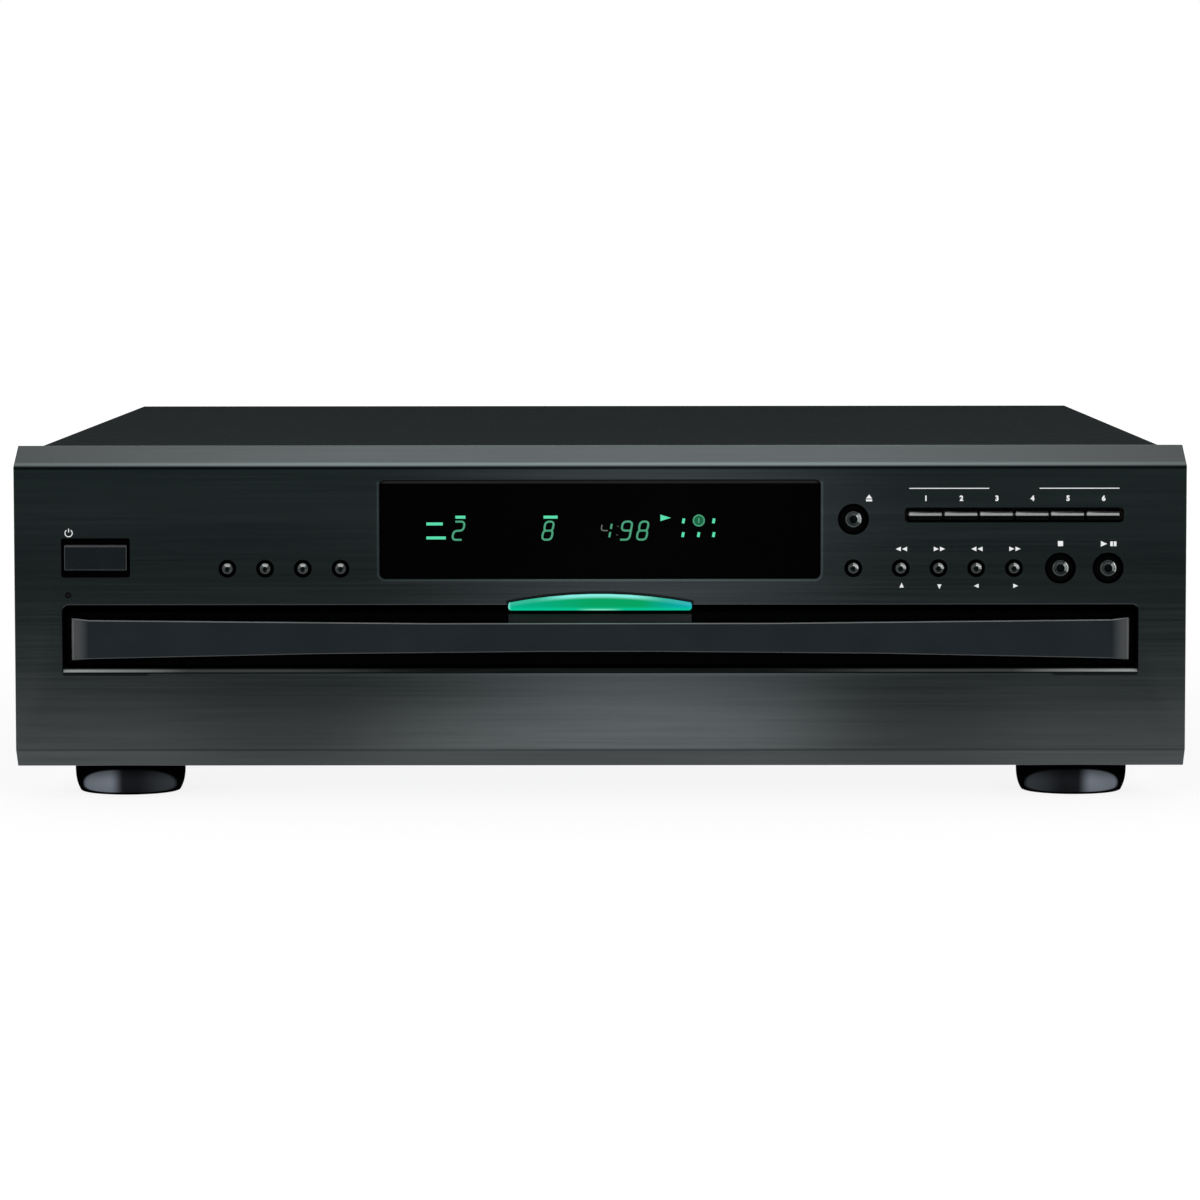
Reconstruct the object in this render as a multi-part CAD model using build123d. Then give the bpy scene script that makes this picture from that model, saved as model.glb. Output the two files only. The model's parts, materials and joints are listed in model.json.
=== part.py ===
from build123d import *
from math import acos, asin, ceil, cos, degrees, floor, hypot, pi, radians, sin, tan
import os

# Front-loading carousel disc changer, in millimetres.
# X runs to the right, Y to the back, Z up. The origin is on the ground, under the middle.

# Discs, their wells and the carousel
disc_radius = 60.0
disc_thickness = 1.2
disc_play = 0.75  # room round a disc in its well
single_radius = 40.5  # step for small discs
single_step = 0.8
well_count = 6
well_web = 1.5  # thinnest wall between two wells
well_depth = 4.5
carousel_floor = 2.0
carousel_deck = 1.8
carousel_rim = 2.25
carousel_wall = 1.5
dome_radius = 60.0
dome_wall = 2.0
dome_rise = 5.3  # above the deck
dome_round = 2.6
pickup_slot_half = 21.0  # half width of the slot that the pickup rises through

well_radius = disc_radius + disc_play
well_ring = (well_radius + well_web / 2) / sin(pi / well_count)
carousel_radius = well_ring + well_radius + carousel_rim

# Clearances
shaft_fit = 0.05  # radial, a shaft that turns or slides in its bore
hole_fit = 0.1  # radial, a fixed pin or screw in its hole
slide_gap = 0.3  # between a part that slides and what guides it
button_gap = 0.3
seat_gap = 0.15
past = 1.0  # how far a cut runs past a face

# Front to back
button_proud = 1.0
door_recess = 2.5
trim_thickness = 2.5
door_thickness = 4.5
tray_nose = 6.0  # door to carousel
tray_tail = 4.0
rear_bay = 34.0
jack_proud = 10.5
panel_wall = 2.5
panel_depth = 16.0

overall_depth = (
    button_proud + door_recess + trim_thickness + door_thickness + tray_nose
    + 2 * carousel_radius + rear_bay + jack_proud
)
front_y = -overall_depth / 2
face_y = front_y + button_proud
wall_y = face_y + panel_wall
panel_back_y = face_y + panel_depth
trim_y = face_y + door_recess
door_y = trim_y + trim_thickness
tray_y = door_y + door_thickness
carousel_y = tray_y + tray_nose + carousel_radius
play_y = carousel_y + well_ring
tray_end_y = carousel_y + carousel_radius + tray_tail
rear_y = carousel_y + carousel_radius + rear_bay
jack_y = rear_y + jack_proud

# Side to side, as half widths
bowl_gap = 2.0
tray_wall = 1.8
bowl_to_side = 3.7
tray_flange = 5.0
rail_side_gap = 0.4
rail_width = 7.9
chassis_sheet = 1.2
cover_sheet = 1.0
cover_inset = 8.5
slot_side_gap = 1.2

bowl_radius = carousel_radius + bowl_gap
tray_half = bowl_radius + tray_wall + bowl_to_side
flange_half = tray_half + tray_flange
rail_half = flange_half + rail_side_gap
chassis_inner = rail_half + rail_width
chassis_half = chassis_inner + chassis_sheet
cover_half = chassis_half + cover_sheet
panel_half = cover_half + cover_inset
slot_half = flange_half + slot_side_gap
door_half = flange_half + 0.4

# Heights
foot_height = 12.0
lower_bay = 35.5
slot_height = 23.7
window_rise = 9.7  # tray slot to window
window_height = 36.7
window_brow = 5.1
chamfer_rise = 7.1
panel_drop = 0.2
cover_drop = 0.3

pan_top = foot_height + chassis_sheet
slot_bottom = pan_top + lower_bay
slot_top = slot_bottom + slot_height
slot_middle = (slot_bottom + slot_top) / 2
window_bottom = slot_top + window_rise
window_top = window_bottom + window_height
window_middle = (window_bottom + window_top) / 2
chamfer_z = window_top + window_brow
overall_height = chamfer_z + chamfer_rise
panel_bottom = foot_height - panel_drop
cover_top = overall_height - cover_drop

# Front panel outline and its tray slot
bevel_height = 6.5
bevel_depth = 6.0
ridge_round = 1.0
slot_corner = 2.4
slot_lip = 1.6
collar_wall = 2.0
return_overlap = 4.0  # panel's back ribs inside the cover's edge

# Display window
window_half = 81.8
window_corner = 2.1
window_bevel = 0.8
window_sink = 0.8
window_flange = 2.2
window_plate = 1.2

# Light bar above the tray
light_half = 34.1
light_hang = 2.1  # below the top of the slot
light_side = 2.6
light_rise = 5.9
light_corner = 1.2
light_proud = 0.3
light_depth = 9.3
light_gap = 0.2

# Feet and screws
foot_top_radius = 20.6
foot_bottom_radius = 18.6
foot_inset_x = 39.6
foot_inset_y = 32.0
foot_bulge = (0.85, 0.35)  # shares of the flare and height where the side turns
foot_boss_radius = 14.0
foot_step = 0.5  # its rim stands this far below the pan and the panel
foot_sink_radius = 4.4
foot_sink = 7.0
screw_radius = 1.45
screw_length = 7.0
screw_head_radius = 3.0
screw_head = 1.7
screw_edge = 0.5
cross_arm = 1.8
cross_width = 0.7
cross_depth = 0.9
side_screw_inset = 36.0
lip_screw_inset = 28.0
lip_screw_drop = 6.0
low_screw_inset = 13.0
low_screw_rise = 3.8
panel_screw_inset = 67.5

# Front board
board_sheet = 1.6
board_stand = 8.2  # panel wall to the board's front face
board_low_gap = 0.6
board_high_gap = 2.2
board_side_gap = 10.5
switch_size = 6.0
switch_height = 3.5
plunger_radius = 1.6
plunger_height = 0.7
boss_radius = 2.5
boss_low = 4.5  # board's lower edge to its low posts
boss_high = 4.0
boss_beside_window = 6.3
boss_end = 24.0
boss_left = 57.5
boss_right = 14.0
stake_radius = 0.9
stake_over = 0.6
tube_half = 72.0
tube_height = 29.0
tube_thickness = 5.4
lamp_radius = 0.75
lamp_sink = 0.4
bar_lamp = (6.0, 2.6)
bar_lamp_rise = 0.2
lamp_rise = 3.7  # standby lamp above the slot
lamp_inset = 20.0

board_y = wall_y + board_stand
board_bottom = slot_top + collar_wall + board_low_gap
board_top = window_top + board_high_gap
board_half = panel_half - board_side_gap

# Buttons: a round one is a domed cap inside a sunk ring
button_travel = 0.8
power_travel = 1.0
flange_sheet = 1.2
flange_reach = 0.8
stem_radius = 1.5
ring_sink = 1.2
dome_edge = 0.2
cap_shoulder = 0.65  # edge of a round cap to its raised rim
cap_dish = 0.35  # hollow of a round cap
cap_undercut = 0.3
small_ring = 3.1
small_dome = 2.1
large_ring = 5.55
large_dome = 3.15
lower_row_rise = 13.5
small_pitch = 14.0
left_group = 14.5  # window edge to the nearest small button
right_group = 12.2
transport_step = 17.6
stop_step = 17.2
play_step = 17.7
open_rise = 18.2
power_size = (23.2, 9.6)
power_hole = (25.1, 14.1)
power_corner = 0.6
power_bevel = 0.8
bar_proud = 0.5
bar_foot = 0.4
power_rise = 17.6
power_inset = 30.25
key_count = 6
key_size = (12.05, 3.2)
key_pitch = 13.17
key_end_gap = 1.4
key_room = 1.9  # slot's height beyond the keys
key_slot_rise = 0.2
key_flange_gap = 0.5
key_flange_rise = 3.4
key_slot_corner = 1.3
key_bevel = 1.2
key_rise = 19.55
key_start = 26.7  # disc skip button to the first key

lower_row_z = slot_top + lower_row_rise
skip_x = window_half + right_group
transport_x = skip_x + transport_step
stop_x = transport_x + 3 * small_pitch + stop_step
play_x = stop_x + play_step
key_row_z = lower_row_z + key_rise
key_x = skip_x + key_start
key_slot = (
    (key_count - 1) * key_pitch + key_size[0] + 2 * key_end_gap,
    key_size[1] + key_room,
)
power_x = -panel_half + power_inset
power_z = slot_top + power_rise

small_buttons = {
    "repeat_button": (-window_half - left_group - 3 * small_pitch, lower_row_z),
    "random_button": (-window_half - left_group - 2 * small_pitch, lower_row_z),
    "dimmer_button": (-window_half - left_group - small_pitch, lower_row_z),
    "display_button": (-window_half - left_group, lower_row_z),
    "disc_skip_button": (skip_x, lower_row_z),
    "track_back_button": (transport_x, lower_row_z),
    "track_forward_button": (transport_x + small_pitch, lower_row_z),
    "search_back_button": (transport_x + 2 * small_pitch, lower_row_z),
    "search_forward_button": (transport_x + 3 * small_pitch, lower_row_z),
}
large_buttons = {
    "open_close_button": (skip_x, lower_row_z + open_rise),
    "stop_button": (stop_x, lower_row_z),
    "play_button": (play_x, lower_row_z),
}

# Tray levels
tray_running = 0.9
rib_height = 3.0
tray_floor = 1.8
carousel_lift = 0.6  # tray floor to carousel
support_radius = 151.0
support_width = 2.0
rib_places = (60.0, 120.0)
rib_width = 2.0
rib_inset = 6.0
short_rib_gap = 80.0
door_low_gap = 0.6
door_high_gap = 0.6  # under the light bar

rib_z = slot_bottom + tray_running
floor_z = rib_z + rib_height
floor_top = floor_z + tray_floor
carousel_z = floor_top + carousel_lift
well_z = carousel_z + carousel_floor
deck_top = well_z + well_depth
dome_top = deck_top + dome_rise
dome_ceiling = dome_top - dome_wall
light_z = slot_top - light_hang
door_bottom = slot_bottom + door_low_gap
door_top = light_z - door_high_gap

# The tray comes out until the three front wells clear the face
disc_reach = 6.25
tray_travel = carousel_y - well_ring * sin(pi / well_count) + well_radius - face_y + disc_reach

# Door trim, whose edges draw in towards the middle
trim_side_gap = 2.8
trim_end = 6.5
trim_flare = 0.7
trim_end_back = 1.9
trim_top_gap = 5.1
trim_low_gap = 2.6
trim_top_sag = 1.4
trim_bottom_sag = 2.6

trim_half = slot_half - trim_side_gap
trim_top = slot_top - trim_top_gap
trim_bottom = slot_bottom + trim_low_gap

# Gears
pressure_angle = radians(20)
tooth_tip = 0.7  # in modules
tooth_root = 1.0
tooth_play = 0.1
drive_module = 1.0
sled_module = 0.5
ring_teeth = 88
idler_small_teeth = 14
idler_large_teeth = 32
pinion_teeth = 12
loading_teeth = 20
lift_teeth = 24
sled_teeth = 12

# Carousel drive, inside the dome
axle_radius = 4.0
axle_step = 1.0
axle_air = 0.8  # under the dome
axle_clip = 0.5
hub_radius = 9.0
hub_rise = 1.0
motor_radius = 12.2
motor_shaft = 1.0
motor_flange = 2.0
shaft_sink = 5.5
idler_post = 1.5
idler_neck = 5.0
idler_seat = 4.0
gear_over = 0.2
ring_rise = 2.0  # carousel's underside to its ring gear
ring_height = 3.5
gear_height = 1.8
idler_angle = radians(200)
motor_reach = 28.0
motor_air = 0.5
motor_drop = 0.2

ring_pitch = drive_module * ring_teeth / 2
idler_reach = ring_pitch - drive_module * idler_small_teeth / 2
idler_span = drive_module * (idler_large_teeth + pinion_teeth) / 2
idler_x = idler_reach * cos(idler_angle)
idler_y = carousel_y + idler_reach * sin(idler_angle)
motor_turn = acos(
    (idler_reach**2 + motor_reach**2 - idler_span**2) / (2 * idler_reach * motor_reach)
)
motor_angle = idler_angle + motor_turn
motor_x = motor_reach * cos(motor_angle)
motor_y = carousel_y + motor_reach * sin(motor_angle)
ring_z = carousel_z + ring_rise
large_gear_z = dome_ceiling - axle_air - gear_height
motor_top = large_gear_z - motor_air
motor_bottom = rib_z - motor_drop

# Tray rails
shelf_reach = 6.0
shelf_sheet = 1.6
rail_web = 2.0
rail_wall = 1.5
rail_foot = 2.0
rail_drop = 8.1
rail_end_gap = 16.0
rail_start_gap = 2.0
lip_gap = 0.7
rail_foot_z = floor_z - rail_drop
rail_end_y = rear_y - rail_end_gap
rail_start_y = panel_back_y + rail_start_gap
rail_lip_z = floor_top + slide_gap + shelf_sheet
shelf_inner = flange_half - shelf_reach
lip_inner = tray_half + lip_gap

# Loading drive at the left front
rack_spine = 3.0
rack_side_gap = 0.5
loading_inset = 14.0
loading_y = rail_start_y + loading_inset
loading_post = 2.5
loading_neck = 7.0
post_gap = 0.8
loading_pulley_groove = 12.0
loading_pulley_rim = 13.2
motor_pulley_groove = 4.0
motor_pulley_rim = 5.2
pulley_height = 6.2
belt_size = 1.5
belt_gap = 0.15
groove_play = 0.3
bracket_sheet = 2.0
bracket_drop = 15.7
bracket_z = floor_z - bracket_drop
bracket_reach = 76.0
bracket_depth = 34.0
loading_motor_height = 15.0
loading_motor_step = (28.0, 4.0)
loading_shaft_sink = 6.0
motor_neck = 3.0
neck_gap = 0.4

rack_outer_x = -(shelf_inner - rack_side_gap)
rack_root_x = rack_outer_x + rack_spine
rack_pitch_x = rack_root_x + tooth_root * drive_module
loading_radius = drive_module * loading_teeth / 2
loading_x = rack_pitch_x + loading_radius
loading_motor_x = loading_x + loading_motor_step[0]
loading_motor_y = loading_y + loading_motor_step[1]
bracket_top = bracket_z + bracket_sheet
pulley_z = bracket_top + neck_gap
rack_margin = 3.0

# Pickup and its lift
lift_travel = 10.5
seat_drop = 2.5  # turntable below the carousel at rest
cone_radius = 7.4
cone_tip = 5.2
cone_height = 1.9
turntable_radius = 14.0
turntable_sheet = 2.0
base_half = 44.0
base_front = 48.0
base_back = 73.0
base_drop = 22.0  # carousel to the base plate
base_sheet = 2.0
base_z = carousel_z - base_drop
base_front_y = play_y - base_front
base_back_y = play_y + base_back
guide_x = 36.0
guide_front = 35.0
guide_back = 61.0
guide_front_y = play_y - guide_front
guide_back_y = play_y + guide_back
guide_over = 0.5
guide_radius = 2.5
guide_shoulder = 4.0
guide_boss = 5.0
guide_boss_height = 8.0
spindle_height = 12.5
spindle_neck = 3.0
spindle_step = 0.8
spindle_shaft_rise = 4.5
turntable_hub = 4.0
sled_travel = 35.0
lens_start = 23.5
rod_radius = 1.5
rod_x = 7.5
rod_rise = 10.0  # above the base plate
rod_block = 3.0
rod_cap = 2.0
rod_gap = 0.5
rod_block_right = 10.0
rod_block_left = 11.0
sled_half = 11.0
sled_front = 7.0  # lens to each end of the sled
sled_back = 10.0
sled_height = 6.0
sled_rack_height = 2.0
sled_spine = 1.6
sled_drop = 2.5
sled_over = 2.0
sled_motor_radius = 5.0
sled_motor_shaft = 0.75
sled_gear_reach = 54.0
sled_shaft_rise = 2.4
lens_radius = 2.5
lens_holder = 4.0
lens_pit = 4.5
lens_floor = 1.0
lens_proud = 2.4
lens_dome = 1.2
lens_slope = 0.6
cam_travel = 18.0
cam_sheet = 2.0
cam_pin_x = 28.0
cam_pin_radius = 1.5
cam_pin_gap = 0.2
cam_pin_drop = 4.0
cam_wall = 2.3
cam_end = 4.0
cam_air = 1.7
cam_spine = 0.5
pin_over = 0.6
apron_sheet = 2.0
lift_gear_x = 4.0
lift_gear_height = 3.0
lift_motor_radius = 10.0
lift_motor_gap = 0.6
lift_shaft_sink = 7.5
lift_gear_over = 0.1

seat_z = carousel_z - seat_drop
base_top = base_z + base_sheet
spindle_top = base_top + spindle_height
rod_z = base_top + rod_rise
rod_front_y = play_y + motor_radius + rod_gap
rod_back_y = base_back_y - rod_block - rod_gap
lens_y = play_y + lens_start
sled_z = rod_z - sled_drop
sled_rack_root = rod_block_right + slide_gap + sled_spine
sled_rack_pitch = sled_rack_root + tooth_root * sled_module
sled_gear_x = sled_rack_pitch + sled_module * sled_teeth / 2
sled_gear_y = play_y + sled_gear_reach
cam_y = base_front_y - slide_gap - cam_air - cam_sheet
pin_z = base_z - cam_pin_drop
lift_gear_y = cam_y - (tooth_root * drive_module + drive_module * lift_teeth / 2)

# Mechanism frame under the pickup
frame_half = 58.0
frame_sheet = 2.0
frame_leg = 2.8
frame_foot_radius = 5.0
frame_foot_inset = 6.0
frame_front = 14.0
frame_back = 10.0
frame_z = pan_top + frame_leg
frame_top = frame_z + frame_sheet
frame_front_y = lift_gear_y - frame_front
frame_back_y = base_back_y + frame_back
cam_rib = 4.0
cam_rib_sheets = (2.0, 1.2)  # in front of the cam, behind it
rack_band_rise = 11.7
cam_bottom = frame_top + slide_gap
cam_top = pin_z + lift_travel + cam_pin_radius + cam_pin_gap + cam_wall
rack_band_z = cam_bottom + rack_band_rise

# Clamp above the play position
clamp_air = 0.3
puck_radius = 12.0
puck_flange = 15.5
puck_sheet = 2.0
puck_pit = 1.8
puck_pit_gap = 0.6
bridge_rise = 1.0
bridge_gap = 0.4
bridge_sheet = 1.5
bridge_half_depth = 33.0
bridge_rib = 6.0
disc_top_z = seat_z + lift_travel + disc_thickness
puck_z = disc_top_z + clamp_air
bridge_z = puck_z + bridge_rise
bridge_top = bridge_z + bridge_sheet

# Boards, transformer and sockets
main_board_side = 3.3
main_board_right = 66.0
main_board_front = 40.0
main_board_back = 8.0
main_board_rise = 7.8
main_board_x = (-chassis_inner + main_board_side, -main_board_right)
main_board_y = (main_board_front, rear_y - main_board_back)
main_board_z = pan_top + main_board_rise
board_post_radius = 3.0
board_post_inset = 5.0
capacitor_count = 4
capacitor_radius = 5.5
capacitor_height = 20.0
capacitor_pitch = 15.0
capacitor_inset = (14.0, 16.0)  # from the board's right front corner
sink_inset = (12.0, 24.0)  # from its left front corner, as the chips
sink_size = (34.0, 4.0, 20.0)
fin_count = 5
fin_inset = 2.0
fin_pitch = 7.0
fin_size = (1.5, 10.0)
chips = ((93.5, 65.0, 22.0, 22.0), (43.5, 80.0, 12.0, 26.0), (73.5, 110.0, 9.0, 20.0))
chip_height = 2.6
plug_inset = (12.0, 40.0)
plug_size = (8.0, 44.0, 8.0)
transformer_x = 147.0
transformer_y = 140.0
core_half = (30.0, 18.0)
core_height = 31.0
core_window = (9.0, 20.0)
core_window_half = 10.0
coil_gap = 0.3
coil_half = 28.0
core_bracket_half = 40.0
core_bracket_sheet = 1.2
audio_x = -151.0
audio_z = (32.0, 46.0)
coaxial_x = -121.0
optical_x = -96.0
socket_z = 32.0
jack_half = 7.0
jack_cap = 8.0
optical_cap = 7.0
audio_depth = 14.0
coaxial_depth = 12.0
optical_depth = 10.0
optical_snout = (12.0, 10.0)
optical_corner = 1.0
optical_proud = 1.5
optical_mouth = (9.3, 8.4)
optical_mouth_corner = 1.2
optical_pit = 7.0
shell_radius = 4.15
pin_hole = 1.65
collar_radius = 5.5
collar_proud = 1.2
gland_x = 160.0
gland_z = 32.0
gland_radius = 6.0
gland_flange = 8.0
gland_bore = 3.6
gland_inside = 3.0
gland_proud = 4.0
gland_flange_sheet = 2.5
gland_lip = 1.2
side_wall_drop = 60.0
side_wall_top = overall_height - side_wall_drop
front_wall_drop = 2.0
front_opening = (1.8, 0.5)  # round the tray slot
rear_lip = 7.6
cover_start = 0.3
cover_hem = 0.8
cover_lip = 12.0


# Basic solids
def block(x, y, z):
    size = [high - low for low, high in (x, y, z)]
    middle = [(low + high) / 2 for low, high in (x, y, z)]
    return Pos(*middle) * Box(*size)


def upright(x, y, z, radius):
    height = z[1] - z[0]
    return Pos(x, y, (z[0] + z[1]) / 2) * Cylinder(radius, height)


def lengthwise(x, z, y, radius):
    length = y[1] - y[0]
    return Pos(x, (y[0] + y[1]) / 2, z) * Rot(90, 0, 0) * Cylinder(radius, length)


def raised(sketch, z):
    return Pos(0, 0, z[0]) * extrude(sketch, z[1] - z[0], dir=(0, 0, 1))


def front_cut(sketch, y):
    # A sketch in X and Z, pushed back from y[0] to y[1]
    return Pos(0, y[0], 0) * extrude(Plane.XZ * sketch, y[1] - y[0], dir=(0, 1, 0))


def side_cut(sketch, x):
    # A sketch in Y and Z, pushed across from x[0] to x[1]
    return Pos(x[0], 0, 0) * extrude(Plane.YZ * sketch, x[1] - x[0], dir=(1, 0, 0))


def outline(*points):
    return Polygon(*points, align=None)


def rounded(x, z, width, height, corner):
    return Pos(x, z) * RectangleRounded(width, height, corner)


def polar(radius, angle):
    return (radius * cos(angle), radius * sin(angle))


def both_sides(solid):
    return solid + mirror(solid, about=Plane.YZ)


# Gears
def involute(angle):
    return tan(angle) - angle


def gear_outline(teeth, module, phase, tip, root, play):
    """Face of a spur gear whose first tooth points along phase."""
    pitch_radius = teeth * module / 2
    base_radius = pitch_radius * cos(pressure_angle)
    tip_radius = pitch_radius + tip * module
    root_radius = pitch_radius - root * module
    half_tooth = pi / (2 * teeth) - play * module / (2 * pitch_radius)

    def half_angle(radius):
        reach = acos(min(1.0, base_radius / radius))
        return half_tooth + involute(pressure_angle) - involute(reach)

    flank_start = max(base_radius, root_radius)
    flank_middle = (flank_start + tip_radius) / 2
    step = 2 * pi / teeth
    edges = []
    for tooth in range(teeth):
        centre = phase + tooth * step
        left = [(r, centre + half_angle(r)) for r in (flank_start, flank_middle, tip_radius)]
        right = [(r, centre - half_angle(r)) for r in (flank_start, flank_middle, tip_radius)]
        foot_right = (root_radius, right[0][1])
        foot_left = (root_radius, left[0][1])
        next_foot = (root_radius, foot_right[1] + step)
        if root_radius < flank_start - 1e-6:
            edges.append(Line(polar(*foot_right), polar(*right[0])))
            edges.append(Line(polar(*left[0]), polar(*foot_left)))
        edges.append(ThreePointArc(*[polar(*point) for point in right]))
        edges.append(ThreePointArc(polar(*right[2]), polar(tip_radius, centre), polar(*left[2])))
        edges.append(ThreePointArc(*[polar(*point) for point in reversed(left)]))
        valley = (root_radius, centre + step / 2)
        edges.append(ThreePointArc(polar(*foot_left), polar(*valley), polar(*next_foot)))
    return Face(Wire(edges))


def spur_gear(teeth, module, phase, x, y, z):
    face = gear_outline(teeth, module, phase, tooth_tip, tooth_root, tooth_play)
    return Pos(x, y) * raised(face, z)


def rack_outline(low, high, tooth_at, module, spine):
    """Rack along X with its teeth towards +Y and its pitch line on Y = 0."""
    pitch = pi * module
    half = pitch / 4 - tooth_play * module / 2
    half_tip = half - tooth_tip * module * tan(pressure_angle)
    half_root = half + tooth_root * module * tan(pressure_angle)
    root = -tooth_root * module
    tip = tooth_tip * module
    first = ceil((low - tooth_at + half_root) / pitch)
    last = floor((high - tooth_at - half_root) / pitch)
    points = [(low, root - spine), (low, root)]
    for index in range(first, last + 1):
        centre = tooth_at + index * pitch
        points += [(centre - half_root, root), (centre - half_tip, tip)]
        points += [(centre + half_tip, tip), (centre + half_root, root)]
    points += [(high, root), (high, root - spine)]
    return outline(*reversed(points))


# Front panel and what sits in it
def panel_profile():
    back = panel_back_y + 4 * panel_wall
    profile = outline(
        (face_y, panel_bottom + bevel_height),
        (face_y + bevel_depth, panel_bottom),
        (back, panel_bottom),
        (back, overall_height),
        (face_y + panel_depth, overall_height),
        (face_y, chamfer_z),
    )
    return profile


def slot_outline(grow):
    return rounded(
        0, slot_middle, 2 * (slot_half + grow), slot_height + 2 * grow, slot_corner + grow
    )


def light_outline(grow):
    half = light_half + grow
    low = light_z - grow
    side = light_z + light_side + grow
    top = light_z + light_rise + grow
    shape = make_face([
        Line((-half, low), (half, low)),
        Line((half, low), (half, side)),
        ThreePointArc((half, side), (0, top), (-half, side)),
        Line((-half, side), (-half, low)),
    ])
    return fillet(shape.vertices(), light_corner)


def key_places():
    return [(key_x + index * key_pitch, key_row_z) for index in range(key_count)]


def boss_places():
    low = board_bottom + boss_low
    high = board_top - boss_high
    near_window = window_half + boss_beside_window
    return [
        (-panel_half + boss_end, high),
        (panel_half - boss_end, high),
        (-near_window, high),
        (near_window, high),
        (-near_window, low),
        (near_window, low),
        (-panel_half + boss_left, low),
        (panel_half - boss_right, low),
    ]


def panel_screw_places():
    reach = panel_half - panel_screw_inset
    return [(x, pan_top + lower_bay / 2) for x in (-reach, 0, reach)]


def front_panel():
    profile = panel_profile()
    ridge = profile.vertices().sort_by(Axis.X)[:2]
    inner = offset(profile, -panel_wall, kind=Kind.INTERSECTION)
    shell = side_cut(fillet(ridge, ridge_round), (-panel_half, panel_half))
    shell -= side_cut(inner, (-panel_half + panel_wall, panel_half - panel_wall))
    back_rib = (panel_back_y - panel_wall, panel_back_y)
    returns = block((cover_half - return_overlap, panel_half), back_rib, (0, overall_height + past))
    shell += both_sides(returns) & side_cut(profile, (-panel_half, panel_half))
    beyond = (panel_back_y, panel_back_y + 6 * panel_wall)
    shell -= block((-panel_half - past, panel_half + past), beyond, (0, overall_height + past))
    shell += front_cut(slot_outline(collar_wall), (face_y + panel_wall / 2, panel_back_y))
    for x, z in boss_places():
        shell += lengthwise(x, z, (wall_y, board_y), boss_radius)
        shell += lengthwise(x, z, (wall_y, board_y + board_sheet + stake_over), stake_radius)
    for x, z in panel_screw_places():
        shell += lengthwise(x, z, (face_y + panel_wall / 2, panel_back_y), 2 * boss_radius)
        pilot_start = panel_back_y - screw_length
        shell -= lengthwise(x, z, (pilot_start, panel_back_y + past), screw_radius + hole_fit)
    shell -= front_cut(slot_outline(0), (face_y - past, panel_back_y + past))
    lip = outline(
        (face_y - slot_lip, slot_bottom - 2 * slot_lip),
        (face_y + slot_lip, slot_bottom),
        (face_y + slot_lip, slot_bottom + slot_corner),
        (face_y - slot_lip, slot_bottom + slot_corner),
    )
    shell -= side_cut(lip, (-slot_half, slot_half))
    shell -= front_cut(light_outline(light_gap), (face_y - past, face_y + light_depth + slide_gap))
    window = rounded(0, window_middle, 2 * window_half, window_height, window_corner)
    window_cut = front_cut(window, (face_y - past, wall_y + past))
    shell -= window_cut
    shell -= loft([
        Pos(0, face_y, 0) * Plane.XZ * rounded(
            0, window_middle, 2 * (window_half + window_bevel),
            window_height + 2 * window_bevel, window_corner + window_bevel
        ),
        Pos(0, face_y + window_bevel, 0) * Plane.XZ * window,
    ])
    for x, z in small_buttons.values():
        shell -= lengthwise(x, z, (face_y - past, wall_y + past), small_ring)
    for x, z in large_buttons.values():
        shell -= lengthwise(x, z, (face_y - past, wall_y + past), large_ring)
    power = rounded(power_x, power_z, *power_hole, power_corner)
    shell -= front_cut(power, (face_y - past, wall_y + past))
    keys_middle = key_x + (key_count - 1) * key_pitch / 2
    keys = rounded(keys_middle, key_row_z + key_slot_rise, *key_slot, key_slot_corner)
    shell -= front_cut(keys, (face_y - past, wall_y + past))
    lamp_x = -panel_half + lamp_inset
    lamp_hole = lamp_radius + seat_gap
    shell -= lengthwise(lamp_x, slot_top + lamp_rise, (face_y - past, wall_y + past), lamp_hole)
    return shell


def display_window():
    body = rounded(
        0, window_middle, 2 * (window_half - seat_gap),
        window_height - 2 * seat_gap, window_corner - seat_gap
    )
    flange = rounded(
        0, window_middle, 2 * (window_half + window_flange),
        window_height + 2 * window_flange, window_corner + window_flange
    )
    pane = front_cut(body, (face_y + window_sink, wall_y))
    return pane + front_cut(flange, (wall_y, wall_y + window_plate))


def light_bar():
    return front_cut(light_outline(0), (face_y - light_proud, face_y + light_depth))


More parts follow.
